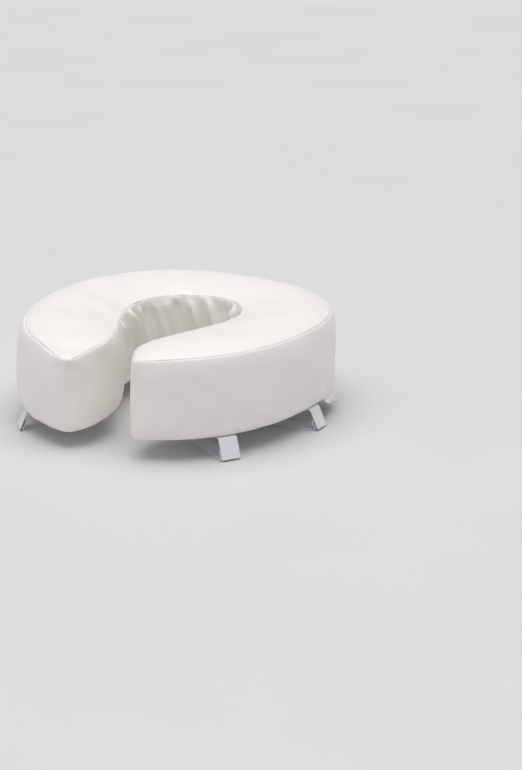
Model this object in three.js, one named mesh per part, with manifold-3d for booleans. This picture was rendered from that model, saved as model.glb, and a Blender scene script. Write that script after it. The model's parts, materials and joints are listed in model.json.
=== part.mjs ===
// Padded raised toilet seat: a horseshoe foam riser in a wipe-clean cover, with a zip round the
// back and four sets of hook-and-loop straps that wrap under a toilet's own seat.
// Units are millimetres, +Z is up, +Y is the back of the seat and -Y is the open front.
import * as THREE from "three";
import { mergeVertices } from "three/addons/utils/BufferGeometryUtils.js";
import Module from "manifold-3d";

// Pad outline, measured from the widest line of the pad
const HALF_WIDTH = 188;
const FRONT_REACH = 236;
const FRONT_SQUARENESS = 2.2;
const OPENING_HALF_WIDTH = 73;
const OPENING_CENTRE_Y = -6;
const OPENING_BACK_DEPTH = 79;
const NECK_HALF_WIDTH = 24;
const NECK_Y = -179;
const MOUTH_HALF_WIDTH = 47;
const MOUTH_FLARE_POWER = 1.5;
const OUTER_HALF_STATIONS = 46;
const INNER_HALF_STATIONS = 30;

// Levels of the pad
const STRAP_SPACE = 28;
const PAD_HEIGHT = 101.6;
const CROWN_HEIGHT = 6;
const CLOTH = 0.9;
const GAP = 0.3;
const THREAD = 0.8;
const SEAM_STEP = THREAD + 2 * GAP;
const UNDERSIDE = STRAP_SPACE;
const PANEL_TOP = UNDERSIDE + PAD_HEIGHT;
const BOXING_LOW = UNDERSIDE + CLOTH + SEAM_STEP;
const BOXING_HIGH = PANEL_TOP - CLOTH - SEAM_STEP;
const CORNER_TRIM = 1.4;
// how far in from the edge, and how much of the crown height is reached there
const CROWN_ROWS = [
  { inset: 3, rise: 0.45 },
  { inset: 7, rise: 0.82 },
  { inset: 13, rise: 1 },
];

// Zip round the back, set in the lower part of the boxing
const ZIP_START = THREE.MathUtils.degToRad(5);
const ZIP_END = Math.PI - ZIP_START;
const ZIP_COLUMNS = 56;
const ZIP_TAPE = 7.6;
const ZIP_CORD = 1.7;
const TOOTH_LENGTH = 2.6;
const TOOTH_PITCH = 8;
const TOOTH_WIDTH = 3.4;
const CHAIN_PROUD = 0.6;
const CHAIN_INSIDE = 1.0;
const LOWER_TAPE_LOW = BOXING_LOW;
const LOWER_CORD_LOW = LOWER_TAPE_LOW + ZIP_TAPE + GAP;
const LOWER_TOOTH_ROOT = LOWER_CORD_LOW + ZIP_CORD;
const UPPER_TOOTH_ROOT = LOWER_TOOTH_ROOT + TOOTH_LENGTH + GAP;
const UPPER_CORD_HIGH = UPPER_TOOTH_ROOT + ZIP_CORD;
const UPPER_TAPE_LOW = UPPER_CORD_HIGH + GAP;
const UPPER_TAPE_HIGH = UPPER_TAPE_LOW + ZIP_TAPE;
const ZIP_MID = (LOWER_TOOTH_ROOT + UPPER_TOOTH_ROOT) / 2;
const STOP_LENGTH = 2.5;
const CHAIN_MARGIN = STOP_LENGTH + 3 * GAP;

// Zip slider and pull tab, at the closed end
const SLIDER_ANGLE = THREE.MathUtils.degToRad(172);
const SLIDER_LENGTH = 10;
const SLIDER_HEIGHT = 9;
const SLIDER_PLATE = 1.4;
const SLIDER_RADIUS = HALF_WIDTH + CHAIN_PROUD + GAP;
const BAR = 1.6;
const BAR_STANDOFF = 3.2;
const BAR_HALF_SPAN = 3.4;
const EYE_RADIUS = 1.3;
const EYE_WALL = 0.9;
const PULL_LENGTH = 22;
const PULL_HEIGHT = 5;
const PULL_THICKNESS = 1;
const ROUND_SEGMENTS = 20;

// Loose cloth flap that hangs over the other end of the zip
const FLAP_START = THREE.MathUtils.degToRad(5.6);
const FLAP_END = THREE.MathUtils.degToRad(27);
const FLAP_COLUMNS = 12;
const FLAP_ROWS = 4;
const FLAP_LOW = UNDERSIDE - 10;
const FLAP_HIGH = UPPER_TAPE_HIGH + 3;
const FLAP_HANG = 6.5;
const FLAP_HANG_POWER = 1.3;
const FLAP_CURL = 2;

// Straps: distances are measured outwards from the pad's edge and up from the lowest point
const WEB_WIDTH = 25;
const WEB = 1.2;
const PATCH = 0.9;
const PATCH_WIDTH = 21;
const FOLD_GAP = 1.3;
const ANCHOR_MID = UNDERSIDE - GAP - WEB / 2;
const ANCHOR_LENGTH = 30;
const TAB_HINGE_OUT = 2.4;
const TAB_LENGTH = 26;
const TAB_LEAN = THREE.MathUtils.degToRad(24);
const HOOK_LENGTH = 13;
const INNER_ROOT_OUT = -84;
const INNER_BULGE = 5;
const BULGE_SEGMENTS = 10;
const BED_START = 6;
const BED_STOP = 3;
const WEB_LOW = WEB / 2;
const END_LENGTH = 12;
const LOOP_START = 2;
const LOOP_LENGTH = 11;
const STRAP_SITES = [
  { name: "front_right", side: 1, angle: THREE.MathUtils.degToRad(-44.5) },
  { name: "rear_right", side: 1, angle: THREE.MathUtils.degToRad(-4) },
  { name: "front_left", side: -1, angle: THREE.MathUtils.degToRad(-44.5) },
  { name: "rear_left", side: -1, angle: THREE.MathUtils.degToRad(-4) },
];

// ---------------------------------------------------------------- outline

function outerPoint(angle) {
  if (angle >= 0) {
    return new THREE.Vector2(HALF_WIDTH * Math.cos(angle), HALF_WIDTH * Math.sin(angle));
  }
  const power = 2 / FRONT_SQUARENESS;
  return new THREE.Vector2(
    HALF_WIDTH * Math.cos(angle) ** power,
    -FRONT_REACH * Math.abs(Math.sin(angle)) ** power,
  );
}

const MOUTH_ANGLE = -Math.acos((MOUTH_HALF_WIDTH / HALF_WIDTH) ** (FRONT_SQUARENESS / 2));
const MOUTH_Y = outerPoint(MOUTH_ANGLE).y;
// moves the outline so that the finished part is centred front to back
const SHIFT_Y = (-MOUTH_Y - HALF_WIDTH - CHAIN_PROUD) / 2;

// Three stretches, one per third of the parameter: mouth flare, side of the opening, round back
function innerPoint(along) {
  const stretch = Math.min(Math.floor(along * 3), 2);
  const part = along * 3 - stretch;
  if (stretch === 0) {
    const flare = (MOUTH_HALF_WIDTH - NECK_HALF_WIDTH) * (1 - part) ** MOUTH_FLARE_POWER;
    return new THREE.Vector2(NECK_HALF_WIDTH + flare, MOUTH_Y + (NECK_Y - MOUTH_Y) * part);
  }
  if (stretch === 1) {
    const swell = (OPENING_HALF_WIDTH - NECK_HALF_WIDTH) * (1 - Math.cos(Math.PI * part)) / 2;
    return new THREE.Vector2(
      NECK_HALF_WIDTH + swell,
      NECK_Y + (OPENING_CENTRE_Y - NECK_Y) * part,
    );
  }
  const turn = part * Math.PI / 2;
  return new THREE.Vector2(
    OPENING_HALF_WIDTH * Math.cos(turn),
    OPENING_CENTRE_Y + OPENING_BACK_DEPTH * Math.sin(turn),
  );
}

class FormulaCurve extends THREE.Curve {
  constructor(formula) {
    super();
    this.formula = formula;
    this.arcLengthDivisions = 600;
  }

  getPoint(along) {
    const point = this.formula(along);
    return new THREE.Vector3(point.x, point.y + SHIFT_Y, 0);
  }
}

// Evenly spaced points from the right front corner to the centre line, then mirrored to the left
function mirroredStations(formula, count) {
  const right = new FormulaCurve(formula).getSpacedPoints(count);
  const points = right.map((p) => new THREE.Vector2(p.x, p.y));
  points[count].x = 0;
  const left = points.slice(0, count).reverse().map((p) => new THREE.Vector2(-p.x, p.y));
  return [...points, ...left];
}

function outerStations() {
  const formula = (along) => outerPoint(MOUTH_ANGLE + (Math.PI / 2 - MOUTH_ANGLE) * along);
  return mirroredStations(formula, OUTER_HALF_STATIONS);
}

function innerStations() {
  return mirroredStations(innerPoint, INNER_HALF_STATIONS);
}

// Closed outline, anticlockwise, with the solid on its left
function padOutline() {
  const back = innerStations().reverse();
  return [...outerStations(), ...back.slice(1, -1)];
}

function edgeNormal(from, to) {
  return new THREE.Vector2(to.y - from.y, from.x - to.x).normalize();
}

// Moves a run of points to the left of its direction, with mitred corners
function insetRun(points, distance, closed) {
  const last = points.length - 1;
  return points.map((point, i) => {
    const before = i > 0 ? points[i - 1] : closed ? points[last] : null;
    const after = i < last ? points[i + 1] : closed ? points[0] : null;
    const a = before ? edgeNormal(before, point) : edgeNormal(point, after);
    const b = after ? edgeNormal(point, after) : a;
    const mitre = a.clone().add(b).multiplyScalar(-distance / (1 + a.dot(b)));
    return point.clone().add(mitre);
  });
}

// Shortens a run of points at both ends
function trimRun(points, trim) {
  const run = points.map((p) => p.clone());
  const last = run.length - 1;
  const start = run[1].clone().sub(run[0]).setLength(trim);
  const end = run[last - 1].clone().sub(run[last]).setLength(trim);
  run[0].add(start);
  run[last].add(end);
  return run;
}

// ---------------------------------------------------------------- solids

function solidFrom(positions, triangles) {
  const geometry = new THREE.BufferGeometry();
  geometry.setAttribute("position", new THREE.Float32BufferAttribute(positions, 3));
  geometry.setIndex(triangles);
  const flat = geometry.toNonIndexed();
  flat.computeVertexNormals();
  return flat;
}

// A stack of rings with equal numbers of points, capped at both ends, lowest cap facing down
function ringSolid(rings) {
  const count = rings[0].points.length;
  const positions = [];
  const triangles = [];
  for (const ring of rings) {
    for (const p of ring.points) positions.push(p.x, p.y, ring.z);
  }
  for (let r = 0; r < rings.length - 1; r++) {
    for (let i = 0; i < count; i++) {
      const a = r * count + i;
      const b = r * count + (i + 1) % count;
      triangles.push(a, b, b + count, a, b + count, a + count);
    }
  }
  const top = (rings.length - 1) * count;
  for (const [a, b, c] of THREE.ShapeUtils.triangulateShape(rings[0].points, [])) {
    triangles.push(a, c, b);
  }
  for (const [a, b, c] of THREE.ShapeUtils.triangulateShape(rings.at(-1).points, [])) {
    triangles.push(top + a, top + b, top + c);
  }
  return solidFrom(positions, triangles);
}

// A sheet with a front and a back face, made of the filled cells of a grid of columns and rows.
// pointAt(column, row, face) gives a corner: face 1 is the front and face 0 the back. Seen from
// the front, columns run left to right and rows run upwards.
function sheetSolid({ columns, rows, pointAt, filled = () => true, closed = false }) {
  const wide = closed ? columns : columns + 1;
  const corner = (c, r, face) => ((c % wide) * (rows + 1) + r) * 2 + face;
  const positions = [];
  for (let c = 0; c < wide; c++) {
    for (let r = 0; r <= rows; r++) {
      positions.push(...pointAt(c, r, 0).toArray(), ...pointAt(c, r, 1).toArray());
    }
  }
  const isFilled = (c, r) => {
    if (closed) return r >= 0 && r < rows && filled((c + columns) % columns, r);
    return c >= 0 && c < columns && r >= 0 && r < rows && filled(c, r);
  };
  const triangles = [];
  const quad = (a, b, c, d) => triangles.push(a, b, c, a, c, d);
  for (let c = 0; c < columns; c++) {
    for (let r = 0; r < rows; r++) {
      if (!isFilled(c, r)) continue;
      const at = (dc, dr, face) => corner(c + dc, r + dr, face);
      quad(at(0, 0, 1), at(1, 0, 1), at(1, 1, 1), at(0, 1, 1));
      quad(at(0, 0, 0), at(0, 1, 0), at(1, 1, 0), at(1, 0, 0));
      if (!isFilled(c - 1, r)) quad(at(0, 0, 0), at(0, 0, 1), at(0, 1, 1), at(0, 1, 0));
      if (!isFilled(c + 1, r)) quad(at(1, 0, 1), at(1, 0, 0), at(1, 1, 0), at(1, 1, 1));
      if (!isFilled(c, r - 1)) quad(at(0, 0, 0), at(1, 0, 0), at(1, 0, 1), at(0, 0, 1));
      if (!isFilled(c, r + 1)) quad(at(0, 1, 1), at(1, 1, 1), at(1, 1, 0), at(0, 1, 0));
    }
  }
  return solidFrom(compact(positions, triangles), triangles);
}

// Drops unused corners so that every listed position belongs to a face
function compact(positions, triangles) {
  const kept = new Map();
  const packed = [];
  triangles.forEach((index, i) => {
    if (!kept.has(index)) {
      kept.set(index, kept.size);
      packed.push(...positions.slice(index * 3, index * 3 + 3));
    }
    triangles[i] = kept.get(index);
  });
  return packed;
}

// Wall standing on a run of points, the run's outward side to the front
function wall(run, low, high, closed = false) {
  const inside = insetRun(run, CLOTH, closed);
  return sheetSolid({
    columns: closed ? run.length : run.length - 1,
    rows: 1,
    closed,
    pointAt: (c, r, face) => {
      const p = face ? run[c] : inside[c];
      return new THREE.Vector3(p.x, p.y, r ? high : low);
    },
  });
}

// ---------------------------------------------------------------- pad

function crownRings(outline, edgeInset, baseZ) {
  return CROWN_ROWS.map(({ inset, rise }) => ({
    points: insetRun(outline, edgeInset + inset, true),
    z: baseZ + rise * CROWN_HEIGHT,
  }));
}

function foamCore() {
  const outline = padOutline();
  const margin = CLOTH + GAP;
  const edge = insetRun(outline, margin, true);
  return ringSolid([
    { points: edge, z: UNDERSIDE + margin },
    { points: edge, z: PANEL_TOP - margin },
    ...crownRings(outline, margin, PANEL_TOP - margin),
  ]);
}

function topPanel() {
  const outline = padOutline();
  const under = crownRings(outline, 0, PANEL_TOP - CLOTH).reverse();
  return ringSolid([
    ...under,
    { points: outline, z: PANEL_TOP - CLOTH },
    { points: outline, z: PANEL_TOP },
    ...crownRings(outline, 0, PANEL_TOP),
  ]);
}

function bottomPanel() {
  const outline = padOutline();
  return ringSolid([
    { points: outline, z: UNDERSIDE },
    { points: outline, z: UNDERSIDE + CLOTH },
  ]);
}

function seamThread(low) {
  return wall(padOutline(), low, low + THREAD, true);
}

function innerBoxing() {
  return wall(trimRun(innerStations().reverse(), CORNER_TRIM), BOXING_LOW, BOXING_HIGH);
}

function backArc(angle, radius, z) {
  return new THREE.Vector3(radius * Math.cos(angle), radius * Math.sin(angle) + SHIFT_Y, z);
}

// Angle round the pad, counted from the open front
function turnOf(point) {
  const angle = Math.atan2(point.y - SHIFT_Y, point.x);
  return angle < -Math.PI / 2 ? angle + 2 * Math.PI : angle;
}

// The boxing is full height at the sides and cut away below for the zip
function outerBoxing() {
  const edge = GAP / HALF_WIDTH;
  const cutStart = ZIP_START - edge;
  const cutEnd = ZIP_END + edge;
  const cutCorners = [cutStart, cutEnd].map((angle) => backArc(angle, HALF_WIDTH, 0));
  const points = [...outerStations(), ...cutCorners.map((p) => new THREE.Vector2(p.x, p.y))];
  points.sort((a, b) => turnOf(a) - turnOf(b));
  const inside = insetRun(points, CLOTH, false);
  const levels = [BOXING_LOW, UPPER_TAPE_HIGH + GAP, BOXING_HIGH];
  return sheetSolid({
    columns: points.length - 1,
    rows: 2,
    pointAt: (c, r, face) => {
      const p = face ? points[c] : inside[c];
      return new THREE.Vector3(p.x, p.y, levels[r]);
    },
    filled: (c, r) => {
      const turn = (turnOf(points[c]) + turnOf(points[c + 1])) / 2;
      return r === 1 || turn < cutStart || turn > cutEnd;
    },
  });
}

// ---------------------------------------------------------------- zip

// Sheet bent round the back of the pad between two angles
function backSheet({ start, end, levels, columns, inner, outer }) {
  return sheetSolid({
    columns,
    rows: levels.length - 1,
    pointAt: (c, r, face) => {
      const angle = start + (end - start) * c / columns;
      return backArc(angle, face ? outer : inner, levels[r]);
    },
  });
}

function zipTape(low) {
  return backSheet({
    start: ZIP_START,
    end: ZIP_END,
    levels: [low, low + ZIP_TAPE],
    columns: ZIP_COLUMNS,
    inner: HALF_WIDTH - CLOTH,
    outer: HALF_WIDTH,
  });
}

const CHAIN_EDGE = CHAIN_MARGIN / HALF_WIDTH;
const CHAIN_START = ZIP_START + CHAIN_EDGE;
const CHAIN_END = ZIP_END - CHAIN_EDGE;
const TEETH = Math.floor((CHAIN_END - CHAIN_START) * HALF_WIDTH / TOOTH_PITCH);

// Each tooth pitch is split so that teeth of one side stand in the gaps of the other
function zipChain(levels, toothRow, toothStep) {
  const pitch = (CHAIN_END - CHAIN_START) / TEETH;
  const half = TOOTH_WIDTH / 2 / TOOTH_PITCH;
  const breaks = [0, 0.25 - half, 0.25 + half, 0.75 - half, 0.75 + half];
  return sheetSolid({
    columns: TEETH * breaks.length,
    rows: 2,
    filled: (c, r) => r !== toothRow || c % breaks.length === toothStep,
    pointAt: (c, r, face) => {
      const tooth = Math.floor(c / breaks.length);
      const angle = CHAIN_START + pitch * (tooth + breaks[c % breaks.length]);
      const radius = HALF_WIDTH + (face ? CHAIN_PROUD : -CHAIN_INSIDE);
      return backArc(angle, radius, levels[r]);
    },
  });
}

function lowerChain() {
  return zipChain([LOWER_CORD_LOW, LOWER_TOOTH_ROOT, LOWER_TOOTH_ROOT + TOOTH_LENGTH], 1, 1);
}

function upperChain() {
  return zipChain([UPPER_TOOTH_ROOT - TOOTH_LENGTH, UPPER_TOOTH_ROOT, UPPER_CORD_HIGH], 0, 3);
}

function zipStop(start) {
  return backSheet({
    start,
    end: start + STOP_LENGTH / HALF_WIDTH,
    levels: [LOWER_TOOTH_ROOT - 1, UPPER_TOOTH_ROOT + 1],
    columns: 1,
    inner: HALF_WIDTH - CHAIN_INSIDE,
    outer: HALF_WIDTH + CHAIN_PROUD,
  });
}

// Moves a solid drawn with X towards the closed zip and -Y outwards to an angle round the back
function placeAtBack(geometry, angle, radius, z) {
  geometry.rotateY(Math.PI);
  geometry.rotateZ(angle + Math.PI / 2);
  geometry.translate(...backArc(angle, radius, z).toArray());
  return geometry;
}

// Bow that carries the pull tab: a bridge seen along the zip, standing on the slider plate
function sliderBow() {
  const reach = SLIDER_PLATE + BAR_STANDOFF;
  const foot = BAR_HALF_SPAN + BAR;
  const shape = new THREE.Shape();
  shape.moveTo(SLIDER_PLATE / 2, -foot);
  shape.lineTo(reach + BAR / 2, -foot);
  shape.lineTo(reach + BAR / 2, foot);
  shape.lineTo(SLIDER_PLATE / 2, foot);
  shape.lineTo(SLIDER_PLATE / 2, BAR_HALF_SPAN);
  shape.lineTo(reach - BAR / 2, BAR_HALF_SPAN);
  shape.lineTo(reach - BAR / 2, -BAR_HALF_SPAN);
  shape.lineTo(SLIDER_PLATE / 2, -BAR_HALF_SPAN);
  shape.closePath();
  const bow = new THREE.ExtrudeGeometry(shape, { depth: BAR, bevelEnabled: false });
  // from profile axes (outward, up, along) to X along, -Y outwards, Z up
  bow.translate(0, 0, -BAR / 2);
  bow.rotateX(Math.PI / 2);
  bow.rotateZ(-Math.PI / 2);
  return bow;
}

function sliderPlate() {
  const half = SLIDER_LENGTH / 2;
  const shape = new THREE.Shape();
  shape.moveTo(-half, -SLIDER_HEIGHT / 2);
  shape.lineTo(half, -SLIDER_HEIGHT / 3);
  shape.lineTo(half, SLIDER_HEIGHT / 3);
  shape.lineTo(-half, SLIDER_HEIGHT / 2);
  shape.closePath();
  const plate = new THREE.ExtrudeGeometry(shape, { depth: SLIDER_PLATE, bevelEnabled: false });
  return plate.rotateX(Math.PI / 2);
}

function zipSlider() {
  const slider = join([sliderPlate(), sliderBow()]);
  return placeAtBack(slider, SLIDER_ANGLE, SLIDER_RADIUS, ZIP_MID);
}

// Strip with a round eye at one end, lying along the zip
function pullTab() {
  const eyeOut = EYE_RADIUS + EYE_WALL;
  const neck = Math.asin(PULL_THICKNESS / 2 / eyeOut);
  const shape = new THREE.Shape();
  shape.absarc(0, 0, eyeOut, neck, 2 * Math.PI - neck, false);
  shape.lineTo(PULL_LENGTH, -PULL_THICKNESS / 2);
  shape.lineTo(PULL_LENGTH, PULL_THICKNESS / 2);
  shape.closePath();
  shape.holes.push(new THREE.Path().absarc(0, 0, EYE_RADIUS, 0, 2 * Math.PI, true));
  const options = { depth: PULL_HEIGHT, bevelEnabled: false, curveSegments: ROUND_SEGMENTS };
  const tab = new THREE.ExtrudeGeometry(shape, options).translate(0, 0, -PULL_HEIGHT / 2);
  const barRadius = SLIDER_RADIUS + SLIDER_PLATE + BAR_STANDOFF;
  return placeAtBack(tab, SLIDER_ANGLE, barRadius, ZIP_MID);
}

// Cloth flap sewn along its top edge, its lower edge hanging free and its front edge curling out
function zipFlap() {
  return sheetSolid({
    columns: FLAP_COLUMNS,
    rows: FLAP_ROWS,
    pointAt: (c, r, face) => {
      const along = c / FLAP_COLUMNS;
      const below = 1 - r / FLAP_ROWS;
      const hang = FLAP_HANG * below ** FLAP_HANG_POWER + FLAP_CURL * below * (1 - along) ** 2;
      const angle = FLAP_START + (FLAP_END - FLAP_START) * along;
      const radius = HALF_WIDTH + GAP + hang + (face ? CLOTH : 0);
      return backArc(angle, radius, FLAP_HIGH - (FLAP_HIGH - FLAP_LOW) * below);
    },
  });
}

// ---------------------------------------------------------------- straps

// Frame of a strap: origin on the pad's edge, one axis outwards and one across the webbing
function strapFrame({ angle, side }) {
  const step = 1e-4;
  const origin = outerPoint(angle);
  const tangent = outerPoint(angle + step).sub(outerPoint(angle - step)).normalize();
  const out = new THREE.Vector3(side * tangent.y, -tangent.x, 0);
  const up = new THREE.Vector3(0, 0, 1);
  return {
    origin: new THREE.Vector3(side * origin.x, origin.y + SHIFT_Y, 0),
    out,
    up,
    across: out.clone().cross(up),
  };
}

// Strip of cloth that follows a side-on path of (outward, up) points
function strip(frame, path, width, thickness) {
  const faces = [insetRun(path, thickness / 2, false), insetRun(path, -thickness / 2, false)];
  return sheetSolid({
    columns: path.length - 1,
    rows: 1,
    pointAt: (c, r, face) => {
      const p = faces[face][c];
      return frame.origin.clone()
        .addScaledVector(frame.out, p.x)
        .addScaledVector(frame.up, p.y)
        .addScaledVector(frame.across, (r - 0.5) * width);
    },
  });
}

// Straight path from one distance to another along a direction
function ray(start, direction, near, far) {
  return [near, far].map((d) => start.clone().addScaledVector(direction, d));
}

function shifted(path, direction, distance) {
  return path.map((p) => p.clone().addScaledVector(direction, distance));
}

const DOWN_TAB = new THREE.Vector2(Math.sin(TAB_LEAN), -Math.cos(TAB_LEAN));
const OUT_OF_TAB = new THREE.Vector2(Math.cos(TAB_LEAN), Math.sin(TAB_LEAN));
const TAB_HINGE = new THREE.Vector2(TAB_HINGE_OUT, ANCHOR_MID);
const LAYER_STEP = WEB + 2 * PATCH + 3 * GAP;
const PATCH_STEP = (WEB + PATCH) / 2 + GAP;

// The long strap turns up behind the tab, one layer in from it
function outerFold() {
  const behind = TAB_HINGE.clone().addScaledVector(OUT_OF_TAB, -LAYER_STEP);
  const run = (behind.y - WEB_LOW) / Math.cos(TAB_LEAN);
  return behind.addScaledVector(DOWN_TAB, run);
}

// From its sewn end under the pad, down round the inner bend and level to the outer corner
function longStrapPath(corner) {
  const middle = (ANCHOR_MID + WEB_LOW) / 2;
  const reach = (ANCHOR_MID - WEB_LOW) / 2;
  const path = [new THREE.Vector2(INNER_ROOT_OUT + ANCHOR_LENGTH, ANCHOR_MID)];
  for (let i = 0; i <= BULGE_SEGMENTS; i++) {
    const turn = Math.PI * i / BULGE_SEGMENTS;
    const out = INNER_ROOT_OUT - INNER_BULGE * Math.sin(turn);
    path.push(new THREE.Vector2(out, middle + reach * Math.cos(turn)));
  }
  path.push(new THREE.Vector2(INNER_ROOT_OUT + BED_START, WEB_LOW));
  path.push(new THREE.Vector2(corner.x - FOLD_GAP - BED_STOP, WEB_LOW));
  path.push(new THREE.Vector2(corner.x - FOLD_GAP, WEB_LOW));
  return path;
}

function strapPieces(site) {
  const frame = strapFrame(site);
  const upEnd = DOWN_TAB.clone().negate();
  const corner = outerFold();
  const anchor = [
    new THREE.Vector2(TAB_HINGE.x - FOLD_GAP - ANCHOR_LENGTH, ANCHOR_MID),
    new THREE.Vector2(TAB_HINGE.x - FOLD_GAP, ANCHOR_MID),
  ];
  const tab = ray(TAB_HINGE, DOWN_TAB, FOLD_GAP, FOLD_GAP + TAB_LENGTH);
  const hook = ray(TAB_HINGE, DOWN_TAB, TAB_LENGTH - HOOK_LENGTH, TAB_LENGTH);
  const end = ray(corner, upEnd, FOLD_GAP, FOLD_GAP + END_LENGTH);
  const loop = ray(corner, upEnd, LOOP_START, LOOP_START + LOOP_LENGTH);
  return {
    tab_anchor: strip(frame, anchor, WEB_WIDTH, WEB),
    tab: strip(frame, tab, WEB_WIDTH, WEB),
    hook_patch: strip(frame, shifted(hook, OUT_OF_TAB, -PATCH_STEP), PATCH_WIDTH, PATCH),
    long_strap: strip(frame, longStrapPath(corner), WEB_WIDTH, WEB),
    strap_end: strip(frame, end, WEB_WIDTH, WEB),
    loop_patch: strip(frame, shifted(loop, OUT_OF_TAB, PATCH_STEP), PATCH_WIDTH, PATCH),
  };
}

// ---------------------------------------------------------------- joining solids

const wasm = await Module();
wasm.setup();

function toManifold(geometry) {
  const bare = geometry.clone();
  bare.deleteAttribute("normal");
  bare.deleteAttribute("uv");
  const merged = mergeVertices(bare, 1e-4);
  return new wasm.Manifold(new wasm.Mesh({
    numProp: 3,
    vertProperties: new Float32Array(merged.attributes.position.array),
    triVerts: new Uint32Array(merged.index.array),
  }));
}

function join(geometries) {
  const mesh = wasm.Manifold.union(geometries.map(toManifold)).getMesh();
  return solidFrom([...mesh.vertProperties], [...mesh.triVerts]);
}

// ---------------------------------------------------------------- part

const MATERIALS = {
  cover: { color: 0xf1efee, roughness: 0.45, metalness: 0 },
  foam: { color: 0xe9dfb8, roughness: 0.95, metalness: 0 },
  thread: { color: 0xd9d6d4, roughness: 0.7, metalness: 0 },
  tape: { color: 0xe8e6e6, roughness: 0.8, metalness: 0 },
  zip: { color: 0xdcdcda, roughness: 0.35, metalness: 0 },
  slider: { color: 0xb9bcc0, roughness: 0.3, metalness: 0.9 },
  webbing: { color: 0xeceaf2, roughness: 0.8, metalness: 0 },
  hook: { color: 0xe4e3e8, roughness: 0.9, metalness: 0 },
};

function add(part, name, material, geometry) {
  const mesh = new THREE.Mesh(geometry, new THREE.MeshStandardMaterial(MATERIALS[material]));
  mesh.name = name;
  part.add(mesh);
}

function addPad(part) {
  add(part, "foam_core", "foam", foamCore());
  add(part, "cover_top_panel", "cover", topPanel());
  add(part, "cover_bottom_panel", "cover", bottomPanel());
  add(part, "cover_outer_boxing", "cover", outerBoxing());
  add(part, "cover_inner_boxing", "cover", innerBoxing());
  add(part, "top_seam_thread", "thread", seamThread(BOXING_HIGH + GAP));
  add(part, "bottom_seam_thread", "thread", seamThread(UNDERSIDE + CLOTH + GAP));
}

function addZip(part) {
  add(part, "zip_lower_tape", "tape", zipTape(LOWER_TAPE_LOW));
  add(part, "zip_upper_tape", "tape", zipTape(UPPER_TAPE_LOW));
  add(part, "zip_lower_chain", "zip", lowerChain());
  add(part, "zip_upper_chain", "zip", upperChain());
  add(part, "zip_right_stop", "zip", zipStop(ZIP_START));
  add(part, "zip_left_stop", "zip", zipStop(ZIP_END - STOP_LENGTH / HALF_WIDTH));
  add(part, "zip_slider", "slider", zipSlider());
  add(part, "zip_pull_tab", "slider", pullTab());
  add(part, "zip_end_flap", "cover", zipFlap());
}

const STRAP_MATERIALS = { hook_patch: "hook", loop_patch: "hook" };

function addStraps(part) {
  for (const site of STRAP_SITES) {
    for (const [piece, geometry] of Object.entries(strapPieces(site))) {
      add(part, `${site.name}_${piece}`, STRAP_MATERIALS[piece] ?? "webbing", geometry);
    }
  }
}

const part = new THREE.Group();
addPad(part);
addZip(part);
addStraps(part);

export default part;
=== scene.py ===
"""Looks of a padded raised toilet seat: vinyl cover, foam, zip and hook-and-loop straps.

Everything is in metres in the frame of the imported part: +Z up, -Y the open front. Shapes are
worked out in millimetres and scaled when a mesh is made. Left and right are as seen from the
front, so the right arm is at +X.
"""

import json
import math

import bmesh
import bpy
import numpy as np
from mathutils import Matrix

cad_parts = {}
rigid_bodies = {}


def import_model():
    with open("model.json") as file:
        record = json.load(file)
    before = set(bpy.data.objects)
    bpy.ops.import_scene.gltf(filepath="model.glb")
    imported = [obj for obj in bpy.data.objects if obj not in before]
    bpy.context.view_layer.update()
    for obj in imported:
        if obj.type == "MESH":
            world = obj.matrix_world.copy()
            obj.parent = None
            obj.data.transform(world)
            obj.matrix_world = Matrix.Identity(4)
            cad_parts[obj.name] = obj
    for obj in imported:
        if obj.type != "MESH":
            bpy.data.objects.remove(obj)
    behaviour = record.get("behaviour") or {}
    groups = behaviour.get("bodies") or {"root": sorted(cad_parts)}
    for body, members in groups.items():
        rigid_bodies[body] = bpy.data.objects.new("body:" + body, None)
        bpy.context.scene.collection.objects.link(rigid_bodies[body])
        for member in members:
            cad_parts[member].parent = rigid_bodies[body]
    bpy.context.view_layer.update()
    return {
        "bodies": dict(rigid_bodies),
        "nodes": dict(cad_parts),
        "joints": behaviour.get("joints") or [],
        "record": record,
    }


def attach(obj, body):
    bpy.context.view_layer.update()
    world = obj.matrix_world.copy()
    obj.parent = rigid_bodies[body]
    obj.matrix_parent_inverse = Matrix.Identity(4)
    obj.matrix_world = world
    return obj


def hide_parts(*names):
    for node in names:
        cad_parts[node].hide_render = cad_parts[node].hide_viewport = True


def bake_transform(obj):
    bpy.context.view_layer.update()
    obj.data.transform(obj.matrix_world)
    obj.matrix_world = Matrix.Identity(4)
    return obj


MM = 0.001
SEED = 11

# Plan and levels of the pad, in millimetres
HALF_WIDTH = 188.0
FRONT_REACH = 236.0
FRONT_SQUARENESS = 2.2
OPENING_HALF_WIDTH = 73.0
OPENING_CENTRE_Y = -6.0
OPENING_BACK_DEPTH = 79.0
NECK_HALF_WIDTH = 24.0
NECK_Y = -179.0
MOUTH_HALF_WIDTH = 47.0
MOUTH_FLARE_POWER = 1.5
CHAIN_PROUD = 0.6
UNDERSIDE = 28.0
PANEL_TOP = 129.6
CROWN_HEIGHT, CROWN_RUN, CROWN_POWER = 6.0, 46.0, 2.4

# Rounding of the two sharp front corners, and points used to measure the plan
TIP_ROUNDING, TIP_SOFT_ROUNDING = 3.0, 22.0
TIP_REACH = 24.0
PLAN_POINTS, OUTER_POINTS, INNER_POINTS = 1801, 2401, 1501

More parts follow.
